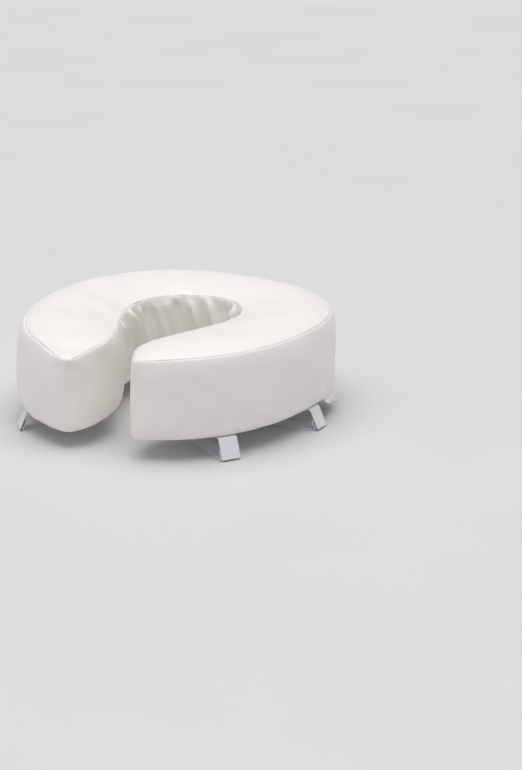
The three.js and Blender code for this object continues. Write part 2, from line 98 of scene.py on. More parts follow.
# Side walls: how far they stand out past their seams, the roll at the top and the turn at the foot.
# A share is a part of the way from the bottom seam to the top one.
OUTER_SWELL, INNER_SWELL, TIP_SWELL = 3.4, 2.0, 4.5
OUTER_ROLL_HEIGHT, INNER_ROLL_HEIGHT, TIP_ROLL_HEIGHT = 24.0, 12.0, 20.0
SEAM_INSET = 0.8
FOOT_INSET, FOOT_TUCK, FOOT_HEIGHT = 1.0, 1.0, 9.0
FOOT_SHARE, ROLL_SHARE = 0.14, 0.3
LEAN_SHARE = 0.5
FLAT_SHARE, FULL_SHARE = 0.3, 0.42
SOFT_SHARE = 0.45
RIGHT_SOFTNESS = 0.3
INNER_SINK = 0.9

# Left arm: fuller outside, drawn in beside the channel and sagging at its end. START, MIDDLE and
# WIDTH are distances along the edge from the front corner.
LEFT_SWELL, LEFT_FOOT_OUT, LEFT_ROLL_EXTRA = 6.5, 13.0, 26.0
LEFT_START, LEFT_MIDDLE, LEFT_WIDTH = 90, 180, 120
CHANNEL_FOOT_IN = 13.0
CHANNEL_START, CHANNEL_MIDDLE, CHANNEL_WIDTH = 70, 80, 100
LEFT_SAG, SAG_REACH = 5.5, 70
REAR_RISE, REAR_RISE_HEADING, REAR_RISE_SPAN = 6.5, (-0.9, 0.3), (0.2, 0.95)
STRAP_CLEAR, STRAP_FADE = 2, 22

# Front corners: droop of both, and lean of the right one towards the opening
LEFT_DROOP, RIGHT_DROOP, DROOP_REACH = 12.5, 2.0, 40.0
RIGHT_TIP_LEAN, LEAN_REACH, LEAN_POWER = 4.5, 45, 1.5

# Hollow and slanting crease in the cloth under each front corner
RIGHT_CORNER_SHARE = 0.35
DENT_DEPTH, DENT_REACH, DENT_BELOW, DENT_HEIGHT = 2.2, 18, 14, 9
CREASE_DEPTH, CREASE_BELOW, CREASE_SLOPE, CREASE_WIDTH = 1.1, 7, 0.55, 2.6
CREASE_MIDDLE, CREASE_REACH = 14, 12

# Seams: a narrow valley and the gathers that run out of it
VALLEY_DEPTH, INNER_VALLEY_DEPTH, VALLEY_WIDTH = 1.0, 0.6, 1.2
ZIP_VALLEY_LOSS = 0.8
SEAM_RISE = 1.2
OUTER_PUCKER, INNER_PUCKER = 0.35, 0.55
OUTER_GATHER_WAVES, INNER_GATHER_WAVES = (7.3, 9.1, 11.6, 15.2), (8.3, 10.7, 13.9, 19.0)
GATHER_SIZE_WAVES = 83.0, 131.0
GATHER_MIDDLE, GATHER_CHANGE, GATHER_LEAST, GATHER_MOST = 0.55, 0.45, 0.1, 1.2
OUTER_GATHER_REACH, INNER_GATHER_REACH, TOP_GATHER_REACH = 12.0, 22.0, 6.0

# Folds of the loose cloth that lines the opening, and the join in it
FOLD_DEPTH, FOLD_SLANT, FOLD_SHARPNESS, FOLD_MIDDLE = 3.2, 0.35, 1.1, 1.4
FOLD_WAVES, FINE_FOLD_WAVES = (27.0, 38.0, 61.0), (14.0, 19.0)
FINE_FOLD_SHARE = 0.15
FOLD_TOP_FADE, FOLD_FOOT_FADE = 18, 25
LOW_FOLD_SHARE, FOLD_RUN = 0.45, 60
FRONT_FOLD_SHARE, FOLD_START, FOLD_FULL = 0.15, 130, 235
LINING_JOIN, JOIN_FLAT, JOIN_WIDTH, JOIN_DEPTH = 60.0, 5, 1.8, 0.45

# Unevenness of the filled cloth: wavelength, height, and for the walls a stretch up the wall
WALL_SWELLS = ((95, 0.7, 1.3), (38, 0.22, 1.0))
TOP_SWELLS = ((110, 0.55), (42, 0.15))
SWELL_WAVES, SWELL_STRETCHES = 7, (0.7, 1.5)
WALL_TOP_FADE, WALL_FOOT_FADE, TOP_EDGE_FADE = 25, 20, 30
ZIP_CALM, ZIP_CALM_END = 30, 45

# Zip round the lower back: levels of each tape, of each row of teeth, and of the topstitching
ZIP_START = math.radians(5.0)
ZIP_TOP = 53.0
TAPE_RADIUS, TAPE_THICKNESS = 187.1, 0.5
TAPE_TUCK, TAPE_COLUMNS, TAPE_ROWS = 0.012, 400, 30
TAPE_RIB, TAPE_RIB_PITCH = 0.08, 1.3
TAPES = {"lower": (28.4, 38.8), "upper": (43.9, 56.0)}
TEETH = {"lower": (39.0, 42.9, 0.25), "upper": (43.7, 39.8, 0.75)}
TOPSTITCHING = {"upper": (55.2, 188.15), "lower": (31.2, 187.25)}
TOOTH_PITCH, TOOTH_WIDTH = 2.6, 1.15
TOOTH_RINGS = ((0.0, 187.0), (0.0, 188.2), (0.3, 188.6))
CHAIN_MARGIN = 0.03
CORD_RADIUS, CORD_THICKNESS, CORD_GRIP = 187.7, 0.62, 0.1
CORD_RINGS, CORD_SIDES = 900, 8
TOPSTITCHING_POINTS = 500

# Nodes of the zip that keep their own solid, and the material of each
METAL_BEVEL = 0.22
ZIP_ENDS = {
    "zip_right_stop": "zip",
    "zip_left_stop": "zip",
    "zip_slider": "metal",
    "zip_pull_tab": "metal",
}

# Flap that hangs over the right end of the zip: powers and wave numbers are per run of the flap
FLAP_START, FLAP_END = math.radians(3.4), math.radians(27)
FLAP_TOP, FLAP_LOW = 58.0, 17.0
FLAP_COLUMNS, FLAP_ROWS = 70, 48
FLAP_GAP, FLAP_HANG, FLAP_REAR_HANG = 0.3, 2.0, 2.8
FLAP_FOOT_OUT, FLAP_FOOT_FADE = 4.5, 0.04
FLAP_LIP, FLAP_LIP_WIDTH = 3.5, 0.07
FLAP_FREE = 0.78
FLAP_LEAD_SLANT = math.radians(4.4)
FLAP_CORNER, FLAP_CORNER_RISE = 0.3, 20.0
FLAP_HANG_POWER, FLAP_REAR_POWER, FLAP_REAR_FULL = 6, 2.5, 0.7
FLAP_SWAY, FLAP_SWAY_ALONG, FLAP_SWAY_BELOW, FLAP_SWAY_FULL = 0.8, 14, 2.5, 0.2
FLAP_WAVE, FLAP_WAVE_ALONG = 0.9, 9
FLAP_STITCH_ROW = 3

# Stitches: how far apart, and the shape of one along its length
SEAM_STITCH_PITCH, ZIP_STITCH_PITCH, BOX_STITCH_PITCH = 3.8, 3.4, 2.9
STITCH_LENGTH, STITCH_RADIUS = 2.7, 0.26
STITCH_ALONG = (-1.0, -0.8, -0.4, 0.4, 0.8, 1.0)
STITCH_LIFT = (-0.9, -0.25, 0.3, 0.3, -0.25, -0.9)
STITCH_SIZE = (0.05, 0.8, 1.0, 1.0, 0.8, 0.05)
STITCH_SIDES = 6
SEAM_STITCH_LIFT = 0.2

# Grid of the cover: columns go round the horseshoe, rows go across each panel. A share of the row
# spacing is even, and the rest closes up towards the seams.
COLUMNS, WALL_ROWS, TOP_ROWS, BOTTOM_ROWS = 620, 56, 60, 18
EVEN_SHARE = 0.25
CLOTH_THICKNESS = 0.8

# Whether a panel's quads have to be turned over to face out of the pad
TURNED = {"outer": False, "top": False, "inner": True, "bottom": True}

# Foam block
FOAM_GAP = 8.0
FOAM_COLUMNS, FOAM_WALL_ROWS, FOAM_TOP_ROWS, FOAM_BOTTOM_ROWS = 200, 12, 16, 8

# Cloth simulation: its coarse grid, its settings, the greatest move kept, and the smoothing of it.
# The zip holds the lowest rows of the outer wall, one row in ZIP_ROW_SHARE.
SIM_COLUMNS, SIM_WALL_ROWS, SIM_TOP_ROWS, SIM_BOTTOM_ROWS = 156, 14, 18, 8
CLOTH_FRAMES = 20
ZIP_ROW_SHARE = 3
CLOTH_CAP = 6.0
CLOTH_SETTINGS = {
    "quality": 6,
    "mass": 0.3,
    "tension_stiffness": 12,
    "compression_stiffness": 12,
    "shear_stiffness": 4,
    "bending_stiffness": 0.6,
    "shrink_min": -0.012,
    "use_pressure": True,
    "uniform_pressure_force": 4.0,
}
SMOOTHING = {"outer": 30, "top": 60, "inner": 12}

# Straps: webbing, the tab's lean, sewn lengths, bends, and the pieces of hook and loop tape.
# WEB_EDGE is the part of the half width that thins to WEB_EDGE_SIZE of the full thickness.
SITES = ("front_right", "rear_right", "front_left", "rear_left")
STRAP_ANGLES = math.radians(-50.9), math.radians(-6.3)
WEB_WIDTH, WEB, WEB_POINTS = 25.0, 1.2, 61
RIB_PITCH, RIB_HEIGHT, RIB_ROOM = 1.75, 0.07, 0.1
SELVEDGE_HEIGHT, SELVEDGE_INSET, SELVEDGE_WIDTH = 0.1, 1.1, 0.7
WEB_EDGE, WEB_EDGE_SIZE = 0.05, 0.25
TAB_SPACING, LONG_SPACING, BEND_POINTS = 0.8, 1.0, 9
TAB_LEAN = math.radians(24)
TAB_LENGTH, TAB_SEWN, TAB_BEND, TAB_TURN = 27.3, 33.3, 3.2, 2.6
LONG_REACH, LONG_SEWN, LONG_BULGE, LONG_END = 86.4, 30.0, 5.0, 13.3
LONG_BENDS, LONG_TURN = (9.0, 9.0, 2.4), 2.2
PATCH_WIDTH, PATCH_THICKNESS, PATCH_STANDOFF, PILE_STANDOFF = 21.0, 0.5, 1.15, 0.2
HOOK_SPAN, HOOK_COUNTS, HOOK_TAPE_POINTS = (13.0, 26.0), (12, 20), 14
LOOP_SPAN, LOOP_COUNTS, LOOP_TAPE_POINTS = (2.4, 13.0), (14, 26), 12
PILE_MARGIN, PILE_HALF_WIDTH = 0.05, 0.47
BOX_MIDDLES, BOX_HALF_LONG, BOX_HALF_WIDE = (-18.0, -70.4), 10.0, 9.5
BOX_CORNERS = ((-1, -1), (1, -1), (1, 1), (-1, 1), (-1, -1), (1, 1), (1, -1), (-1, 1))
BOX_DROP, BOX_STITCH_LENGTH, BOX_STITCH_RADIUS = 0.62, 2.4, 0.25

# One fibre of each pile: (ahead, out, thickness) from its root on
HOOK_SHAPE = (
    (0, 0, 0.13), (0.02, 0.35, 0.11), (0.12, 0.55, 0.1), (0.32, 0.58, 0.09), (0.42, 0.42, 0.07),
)
LOOP_SHAPE = (
    (-0.35, 0, 0.05), (-0.4, 0.3, 0.05), (0.0, 0.52, 0.05), (0.4, 0.3, 0.05), (0.35, 0, 0.05),
)
FIBRE_SIDES = 4
FIBRE_LEAST, FIBRE_MOST = (-0.7, 0.8, -0.25), (0.7, 1.15, 0.25)

# Studio: heading, height and width of each lamp in degrees, and its strength
LAMPS = {
    "overhead": (0, 90, 70, 1.97),
    "front_left": (-50, 35, 60, 0.22),
    "right": (60, 64, 60, 0.3),
}
SKY_COLOR, SKY_LIGHT, SKY_SEEN = (1, 0.99, 0.985, 1), 0.31, 0.68
FLOOR_SIDE, FLOOR_BACK = 9000, 12000

# Camera
CAMERA_AT = (1102.8, -2172.6, 788.5)
CAMERA_PITCH, CAMERA_YAW = math.radians(-17.261), math.radians(-24.428)
CAMERA_LENS, SENSOR, FARTHEST = 91.6, 36.0, 50


# ------------------------------------------------------------------ small helpers


def smooth(low, high, value):
    t = np.clip((value - low) / (high - low), 0.0, 1.0)
    return t * t * (3 - 2 * t)


def bell(value, width):
    return np.exp(-((value / width) ** 2))


def unit(vectors):
    size = np.linalg.norm(vectors, axis=-1, keepdims=True)
    return vectors / np.maximum(size, 1e-9)


def ripple(along, wavelengths, rng):
    """Sum of sines of the given wavelengths, each with its own phase, about +-1 in size."""
    total = np.zeros_like(along)
    for wavelength in wavelengths:
        total += np.sin(2 * math.pi * (along / wavelength + rng.random()))
    return total / math.sqrt(len(wavelengths))


def swells(x, y, wavelength, rng):
    """Smooth uneven surface made of plane waves in all directions."""
    total = np.zeros_like(x)
    for _ in range(SWELL_WAVES):
        heading = rng.uniform(0, math.pi)
        length = wavelength * rng.uniform(*SWELL_STRETCHES)
        across = x * math.cos(heading) + y * math.sin(heading)
        total += np.sin(2 * math.pi * (across / length + rng.random()))
    return total / math.sqrt(SWELL_WAVES)


def run_lengths(points):
    steps = np.linalg.norm(np.diff(points, axis=0), axis=1)
    return np.concatenate([[0], np.cumsum(steps)])


def evenly(points, count, *others):
    """The run of points spaced evenly along its length, and other values carried with it."""
    length = run_lengths(points)
    at = np.linspace(0, length[-1], count)
    picked = [
        np.stack([np.interp(at, length, values[:, k]) for k in range(values.shape[1])], -1)
        for values in (points, *others)
    ]
    return picked if others else picked[0]


# ------------------------------------------------------------------ meshes


def mesh_object(name, points, faces):
    mesh = bpy.data.meshes.new(name)
    mesh.from_pydata((np.asarray(points) * MM).tolist(), [], faces)
    mesh.polygons.foreach_set("use_smooth", [True] * len(mesh.polygons))
    mesh.update()
    obj = bpy.data.objects.new(name, mesh)
    bpy.context.scene.collection.objects.link(obj)
    return obj


def finish_piece(obj, body, material, slot, *nodes):
    """Gives a piece its material, the body it moves with and the nodes it stands for."""
    obj.data.materials.append(material)
    if body:
        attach(obj, body)
    if nodes:
        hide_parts(*nodes)


def grid_faces(columns, rows, offset=0, flip=False, keep=None):
    """Quads of a grid whose points are stored column by column."""
    number = offset + np.arange(columns * rows).reshape(columns, rows)
    quads = np.stack([number[:-1, :-1], number[1:, :-1], number[1:, 1:], number[:-1, 1:]], -1)
    quads = quads.reshape(-1, 4) if keep is None else quads[keep]
    return (quads[:, ::-1] if flip else quads).tolist()


def rim_faces(keep, rows, half):
    """Quads that close the edges of a sheet's kept part, from its front grid to its back one."""
    framed = np.pad(keep, 1)
    faces = []
    for edge, shift, p, q in (
        (framed[1:] & ~framed[:-1], -1, 0, 1),
        (framed[:-1] & ~framed[1:], -1, 1, 0),
        (framed[:, 1:] & ~framed[:, :-1], -rows, rows, 0),
        (framed[:, :-1] & ~framed[:, 1:], -rows, 0, rows),
    ):
        for c, r in zip(*np.nonzero(edge)):
            a = c * rows + r + shift
            faces.append((a + p, a + q, a + q + half, a + p + half))
    return faces


def closed_sheet(name, front, back, keep=None):
    """Solid between two grids of the same size, with only the kept quads."""
    columns, rows = front.shape[:2]
    half = columns * rows
    if keep is None:
        keep = np.ones((columns - 1, rows - 1), bool)
    faces = grid_faces(columns, rows, keep=keep) + grid_faces(columns, rows, half, True, keep)
    points = np.concatenate([front.reshape(-1, 3), back.reshape(-1, 3)])
    obj = mesh_object(name, points, faces + rim_faces(keep, rows, half))
    add_uv(obj, front)
    return obj


def add_uv(obj, front):
    """Gives both faces of a sheet a map in metres: u along the columns, v across."""
    columns, rows = front.shape[:2]
    u = np.repeat(run_lengths(front[:, rows // 2]), rows)
    v = np.tile(run_lengths(front[columns // 2]), columns)
    uv = np.tile(np.stack([u, v], -1) * MM, (2, 1))
    layer = obj.data.uv_layers.new(name="cloth")
    corners = np.empty(len(obj.data.loops), int)
    obj.data.loops.foreach_get("vertex_index", corners)
    layer.data.foreach_set("uv", uv[corners].ravel())


def tube_parts(points, offset=0):
    """Points and faces of closed tubes; points go by tube, ring, place round the ring and axis."""
    count, rings, sides, _ = points.shape
    number = offset + np.arange(count * rings * sides).reshape(count, rings, sides)
    beside = np.roll(number, -1, 2)
    quads = np.stack([number[:, :-1], number[:, 1:], beside[:, 1:], beside[:, :-1]], -1)
    caps = np.concatenate([number[:, 0], number[:, -1, ::-1]])
    return points.reshape(-1, 3), quads.reshape(-1, 4).tolist() + caps.tolist()


# ------------------------------------------------------------------ plan of the pad


def outer_point(angle):
    power = 2 / FRONT_SQUARENESS
    c, s = np.cos(angle), np.sin(angle)
    x = HALF_WIDTH * np.where(angle < 0, np.abs(c) ** power, c)
    y = np.where(angle < 0, -FRONT_REACH * np.abs(s) ** power, HALF_WIDTH * s)
    return np.stack([x, y], -1)


MOUTH_ANGLE = -math.acos((MOUTH_HALF_WIDTH / HALF_WIDTH) ** (FRONT_SQUARENESS / 2))
MOUTH_Y = float(outer_point(np.array(MOUTH_ANGLE))[1])
SHIFT_Y = (-MOUTH_Y - HALF_WIDTH - CHAIN_PROUD) / 2


def inner_point(along):
    """Flare at the mouth, side of the opening and its round back, a third of the run each."""
    stretch = np.clip(np.floor(along * 3), 0, 2)
    part = along * 3 - stretch
    flare = NECK_HALF_WIDTH + (MOUTH_HALF_WIDTH - NECK_HALF_WIDTH) * (1 - part) ** MOUTH_FLARE_POWER
    swell = NECK_HALF_WIDTH + (OPENING_HALF_WIDTH - NECK_HALF_WIDTH) * (1 - np.cos(math.pi * part)) / 2
    turn = part * math.pi / 2
    x = np.select([stretch == 0, stretch == 1], [flare, swell], OPENING_HALF_WIDTH * np.cos(turn))
    flare_y = MOUTH_Y + (NECK_Y - MOUTH_Y) * part
    side_y = NECK_Y + (OPENING_CENTRE_Y - NECK_Y) * part
    back_y = OPENING_CENTRE_Y + OPENING_BACK_DEPTH * np.sin(turn)
    y = np.select([stretch == 0, stretch == 1], [flare_y, side_y], back_y)
    return np.stack([x, y], -1)


def whole_run(right_half):
    left_half = right_half[::-1][1:] * [-1, 1]
    return np.concatenate([right_half, left_half]) + [0, SHIFT_Y]


def rounded_tips(loop, tips, radius):
    """The closed loop with its two sharp corners rounded off."""
    near, far = 2 * radius, 5 * radius
    rounded = loop.copy()
    for tip in tips:
        from_tip = np.linalg.norm(loop - loop[tip], axis=1)
        for index in np.flatnonzero(from_tip < far):
            away = np.linalg.norm(loop - loop[index], axis=1)
            weight = bell(away, radius)
            averaged = (loop * weight[:, None]).sum(0) / weight.sum()
            rounded[index] += (averaged - loop[index]) * (1 - smooth(near, far, from_tip[index]))
    return rounded


class Run:
    """One edge of the pad in plan, from the right front corner round the back to the left one."""

    def __init__(self, points, normals, soft_points, is_outer):
        self.points = points
        self.normals = unit(normals)
        self.soft_points = soft_points
        self.is_outer = is_outer
        self.length = run_lengths(points)
        self.from_tip = np.minimum(self.length, self.length[-1] - self.length)
        self.at_tip = 1 - smooth(0, TIP_REACH, self.from_tip)
        self.is_left = np.arange(len(points)) > len(points) / 2
        tip_inward = np.where(self.is_left[:, None], -self.normals[-1], -self.normals[0])
        share = self.at_tip[:, None]
        self.inward = unit(tip_inward * share - self.normals * (1 - share))

    def angle(self, x):
        return np.arctan2(self.points[:, 1] - SHIFT_Y, x)

    def mixed(self, outer, inner, tip):
        """A size that is one value along this edge and another, shared one, at the corners."""
        side = outer if self.is_outer else inner
        return side * (1 - self.at_tip) + tip * self.at_tip

    def left_side(self):
        """1 along the fuller outer side of the left arm, fading out towards the back and corner."""
        from_start = smooth(0, LEFT_START, self.from_tip)
        return self.is_outer * self.is_left * from_start * bell(self.from_tip - LEFT_MIDDLE, LEFT_WIDTH)

    def near_strap(self):
        """1 where a strap leaves the outer bottom edge, 0 away from it."""
        angle = self.angle(np.abs(self.points[:, 0]))
        off = [np.abs(angle - strap) * HALF_WIDTH - WEB_WIDTH / 2 for strap in STRAP_ANGLES]
        return 1 - smooth(STRAP_CLEAR, STRAP_FADE, np.minimum(*off))

    def zip_share(self):
        """1 along the stretch of the outer edge that holds the zip, 0 elsewhere."""
        start = np.where(self.points[:, 0] > 0, FLAP_END - ZIP_START, 0)
        angle = self.angle(np.abs(self.points[:, 0]))
        return self.is_outer * smooth(start, start + ZIP_START, angle)

    def swell(self):
        """How far the wall stands out past its seams."""
        return self.mixed(OUTER_SWELL, INNER_SWELL, TIP_SWELL) + LEFT_SWELL * self.left_side()

    def roll_height(self):
        plain = self.mixed(OUTER_ROLL_HEIGHT, INNER_ROLL_HEIGHT, TIP_ROLL_HEIGHT)
        return plain + LEFT_ROLL_EXTRA * self.left_side()

    def foot_out(self):
        """How far the bottom seam stands out past the plan."""
        if not self.is_outer:
            channel = self.is_left * bell(self.from_tip - CHANNEL_MIDDLE, CHANNEL_WIDTH)
            return -CHANNEL_FOOT_IN * channel * smooth(0, CHANNEL_START, self.from_tip) - FOOT_INSET
        angle = self.angle(self.points[:, 0])
        before_end = 1 - smooth(FLAP_END - FLAP_FOOT_FADE, FLAP_END, angle)
        over_flap = smooth(0, FLAP_START, angle) * before_end
        left = LEFT_FOOT_OUT * self.left_side() * (1 - self.near_strap()) * (1 - self.zip_share())
        return left + FLAP_FOOT_OUT * over_flap - FOOT_INSET

    def foot_level(self):
        """Height of the bottom seam, lower where the left arm's end hangs like a sack."""
        return UNDERSIDE - LEFT_SAG * self.is_left * bell(self.from_tip, SAG_REACH)

    def seam_level(self):
        """Height of the top seam: it droops at the front corners and rises at the left rear."""
        droop = np.where(self.is_left, LEFT_DROOP, RIGHT_DROOP)
        rear_left = smooth(*REAR_RISE_SPAN, self.points / HALF_WIDTH @ REAR_RISE_HEADING)
        sink = 0 if self.is_outer else INNER_SINK * (1 - self.at_tip)
        return PANEL_TOP - droop * bell(self.from_tip, DROOP_REACH) + REAR_RISE * rear_left - sink


def edge_runs(columns):
    """The outer and the inner edge of the pad, sharing their end points at the front corners."""
    fine = np.linspace(0, 1, PLAN_POINTS)
    outer_half = outer_point(MOUTH_ANGLE + (math.pi / 2 - MOUTH_ANGLE) * fine)
    outer = evenly(whole_run(outer_half), OUTER_POINTS)
    inner = evenly(whole_run(inner_point(fine)), INNER_POINTS)
    sharp = np.concatenate([outer, inner[::-1][1:-1]])
    tips = (0, len(outer) - 1)
    loop = rounded_tips(sharp, tips, TIP_ROUNDING)
    soft = rounded_tips(sharp, tips, TIP_SOFT_ROUNDING)
    ahead = np.roll(loop, -1, 0) - np.roll(loop, 1, 0)
    normals = unit(np.stack([ahead[:, 1], -ahead[:, 0]], -1))
    outer_part = np.arange(len(outer))
    inner_part = np.concatenate([[0], np.arange(len(loop) - 1, len(outer) - 2, -1)])
    return [
        Run(*evenly(loop[part], columns, normals[part], soft[part]), part is outer_part)
        for part in (outer_part, inner_part)
    ]


# ------------------------------------------------------------------ cover as a grid


def stations(count):
    """Rows from one seam to the next, close together beside the seams."""
    u = np.linspace(0, 1, count)
    return EVEN_SHARE * u + (1 - EVEN_SHARE) * (0.5 - 0.5 * np.cos(math.pi * u))


def wall_points(run, v):
    """A side wall from its bottom seam (v = 0) to its top seam (v = 1)."""
    foot_turn = np.clip(v / FOOT_SHARE, 0, 1) * math.pi / 2
    roll_turn = np.clip((v - 1 + ROLL_SHARE) / ROLL_SHARE, 0, 1) * math.pi / 2
    climb = np.clip((v - FOOT_SHARE) / (1 - FOOT_SHARE - ROLL_SHARE), 0, 1)
    over_zip = smooth(FLAT_SHARE, FULL_SHARE, v)
    foot_out = run.foot_out()[:, None]
    swell = run.swell()[:, None] * (1 - run.zip_share()[:, None] * (1 - over_zip))
    lean = np.maximum(0, foot_out + FOOT_TUCK - swell[:, :1])
    swell = swell + lean * (1 - smooth(0, LEAN_SHARE, v))
    inset = (swell - foot_out) * (1 - np.sin(foot_turn)) + (swell + SEAM_INSET) * (1 - np.cos(roll_turn))
    roll_height = run.roll_height()[:, None]
    foot_level = run.foot_level()[:, None]
    straight = run.seam_level()[:, None] - roll_height - foot_level - FOOT_HEIGHT
    z = foot_level + FOOT_HEIGHT * (1 - np.cos(foot_turn)) + climb * straight
    z = z + roll_height * np.sin(roll_turn)
    softness = np.where(run.is_left, 1.0, RIGHT_SOFTNESS)[:, None] * smooth(0, SOFT_SHARE, 1 - v)
    softness = softness[..., None]
    line = run.points[:, None] * (1 - softness) + run.soft_points[:, None] * softness
    plan = line + run.inward[:, None] * (inset - swell)[..., None]
    at_right_tip = ~run.is_left * bell(run.from_tip, LEAN_REACH)
    plan[..., 0] -= RIGHT_TIP_LEAN * at_right_tip[:, None] * (1 - v) ** LEAN_POWER
    return np.concatenate([plan, z[..., None]], -1)


def bridge_points(start, end, t):
    """Ruled sheet between two seam lines, t from one to the other."""
    return start[:, None] * (1 - t)[None, :, None] + end[:, None] * t[None, :, None]


def crowned(points):
    """Lifts the top panel away from its two seams."""
    width = np.linalg.norm(points[:, -1] - points[:, 0], axis=-1)[:, None]
    along = np.linalg.norm(points - points[:, :1], axis=-1)

    def rise(distance):
        return 1 - (1 - np.clip(distance / CROWN_RUN, 0, 1)) ** CROWN_POWER

    lifted = points.copy()
    lifted[..., 2] += CROWN_HEIGHT * rise(along) * rise(width - along)
    return lifted


def joined_panels(outer, inner, top_rows, bottom_rows):
    """The two side walls and the top and bottom that span between them."""
    return {
        "outer": outer,
        "top": crowned(bridge_points(outer[:, -1], inner[:, -1], stations(top_rows))),
        "inner": inner,
        "bottom": bridge_points(outer[:, 0], inner[:, 0], stations(bottom_rows)),
    }


def cover_panels(runs, wall_rows, top_rows, bottom_rows):
    """The four panels of the cover, each a grid of points in millimetres."""
    return joined_panels(*(wall_points(run, stations(wall_rows)) for run in runs), top_rows, bottom_rows)


def grid_normals(panel, name):
    """Unit normals of a panel's grid, pointing out of the pad."""
    normals = unit(np.cross(np.gradient(panel, axis=0), np.gradient(panel, axis=1)))
    return -normals if TURNED[name] else normals


def band_normals(outer, inner):
    """Normals of the two side walls taken as one band, so that no crease shows at the corners."""
    band = np.concatenate([outer, inner[::-1][1:-1]])
    along = np.roll(band, -1, 0) - np.roll(band, 1, 0)
    normals = unit(np.cross(along, np.gradient(band, axis=1)))
    inner_part = np.concatenate([normals[:1], normals[len(outer) - 1:][::-1]])
    return normals[:len(outer)], inner_part


def row_lengths(panel):
    """Distance of each point from its column's first row."""
    steps = np.linalg.norm(np.diff(panel, axis=1), axis=-1)
    return np.concatenate([np.zeros((len(panel), 1)), np.cumsum(steps, 1)], 1)


# ------------------------------------------------------------------ cloth simulation


def welded(panels):
    """One closed mesh of the four panels: points, faces and each panel's point numbers."""
    stacked = np.concatenate([p.reshape(-1, 3) for p in panels.values()])
    _, first, number = np.unique(np.round(stacked, 3), axis=0, return_index=True, return_inverse=True)
    number = number.reshape(-1)
    faces = []
    numbers = {}
    offset = 0
    for name, panel in panels.items():
        columns, rows = panel.shape[:2]
        numbers[name] = number[offset:offset + columns * rows].reshape(columns, rows)
        for quad in grid_faces(columns, rows, offset, TURNED[name]):
            corners = list(dict.fromkeys(int(number[k]) for k in quad))
            if len(corners) > 2:
                faces.append(corners)
        offset += columns * rows
    return stacked[first], faces, numbers


def held_points(numbers, outer_run):
    """Points the simulation may not move: the bottom, both top seams and the zip."""
    zip_rows = numbers["outer"].shape[1] // ZIP_ROW_SHARE
    zipped = numbers["outer"][outer_run.zip_share() > 0.5, :zip_rows]
    seams = (numbers["outer"][:, -1], numbers["inner"][:, -1])
    return np.unique(np.concatenate([numbers["bottom"].ravel(), *seams, zipped.ravel()]))


def inflated(panels, outer_run):
    """Displacement of each panel's points after the cover is blown up by simulation."""
    points, faces, numbers = welded(panels)
    obj = mesh_object("cover_sim", points, faces)
    held = obj.vertex_groups.new(name="held")
    held.add(held_points(numbers, outer_run).tolist(), 1.0, "REPLACE")
    cloth = obj.modifiers.new("cloth", "CLOTH")
    for key, value in CLOTH_SETTINGS.items():
        setattr(cloth.settings, key, value)
    cloth.settings.vertex_group_mass = held.name
    cloth.settings.effector_weights.gravity = 0
    cloth.point_cache.frame_start = 1
    cloth.point_cache.frame_end = CLOTH_FRAMES
    for frame_number in range(1, CLOTH_FRAMES + 1):
        bpy.context.scene.frame_set(frame_number)
    blown = obj.evaluated_get(bpy.context.evaluated_depsgraph_get()).to_mesh()
    moved = np.empty(len(points) * 3)
    blown.vertices.foreach_get("co", moved)
    moved = moved.reshape(-1, 3) / MM - points
    bpy.data.objects.remove(obj)
    bpy.context.scene.frame_set(1)
    size = np.linalg.norm(moved, axis=1, keepdims=True)
    moved *= CLOTH_CAP * np.tanh(size / CLOTH_CAP) / np.maximum(size, 1e-9)
    return {name: moved[index] for name, index in numbers.items()}


def spread(coarse, coarse_rows, columns, rows, passes):
    """A coarse grid of displacements read at every point of a finer grid, then evened out."""
    by_row = np.stack([
        np.stack([np.interp(rows, coarse_rows, line[:, k]) for k in range(3)], -1) for line in coarse
    ])
    at = np.linspace(0, len(coarse) - 1, columns)
    low = np.clip(np.floor(at).astype(int), 0, len(coarse) - 2)
    part = (at - low)[:, None, None]
    fine = by_row[low] * (1 - part) + by_row[low + 1] * part
    for _ in range(passes):
        fine[1:-1] = (fine[:-2] + 2 * fine[1:-1] + fine[2:]) / 4
        fine[:, 1:-1] = (fine[:, :-2] + 2 * fine[:, 1:-1] + fine[:, 2:]) / 4
    return fine


def blow_up(panels):
    """Adds the simulated filling of the cover to its fine panels."""
    runs = edge_runs(SIM_COLUMNS)
    moved = inflated(cover_panels(runs, SIM_WALL_ROWS, SIM_TOP_ROWS, SIM_BOTTOM_ROWS), runs[0])
    coarse_counts = {"outer": SIM_WALL_ROWS, "top": SIM_TOP_ROWS, "inner": SIM_WALL_ROWS}
    for name, passes in SMOOTHING.items():
        columns, rows = panels[name].shape[:2]
        coarse_rows = stations(coarse_counts[name])
        panels[name] += spread(moved[name], coarse_rows, columns, stations(rows), passes)


# ------------------------------------------------------------------ seams, gathers and folds


class Gathers:
    """Uneven gathers along a top seam, the same for both panels that meet there."""

    def __init__(self, run, rng):
        base = ripple(run.length, OUTER_GATHER_WAVES if run.is_outer else INNER_GATHER_WAVES, rng)
        amount = GATHER_MIDDLE + GATHER_CHANGE * ripple(run.length, GATHER_SIZE_WAVES, rng)
        self.pattern = base * np.clip(amount, GATHER_LEAST, GATHER_MOST) * (1 - run.at_tip)
        self.size = OUTER_PUCKER if run.is_outer else INNER_PUCKER

    def height(self, distance, reach):
        return self.size * self.pattern[:, None] * np.exp(-distance / reach)


def seam_directions(run, rise=SEAM_RISE):
    """Direction square to the cloth at a top seam, between outwards and up."""
    up = np.full((len(run.points), 1), rise)
    return unit(np.concatenate([-run.inward, up], 1))


def foot_directions(run):
    return seam_directions(run, -SEAM_RISE)


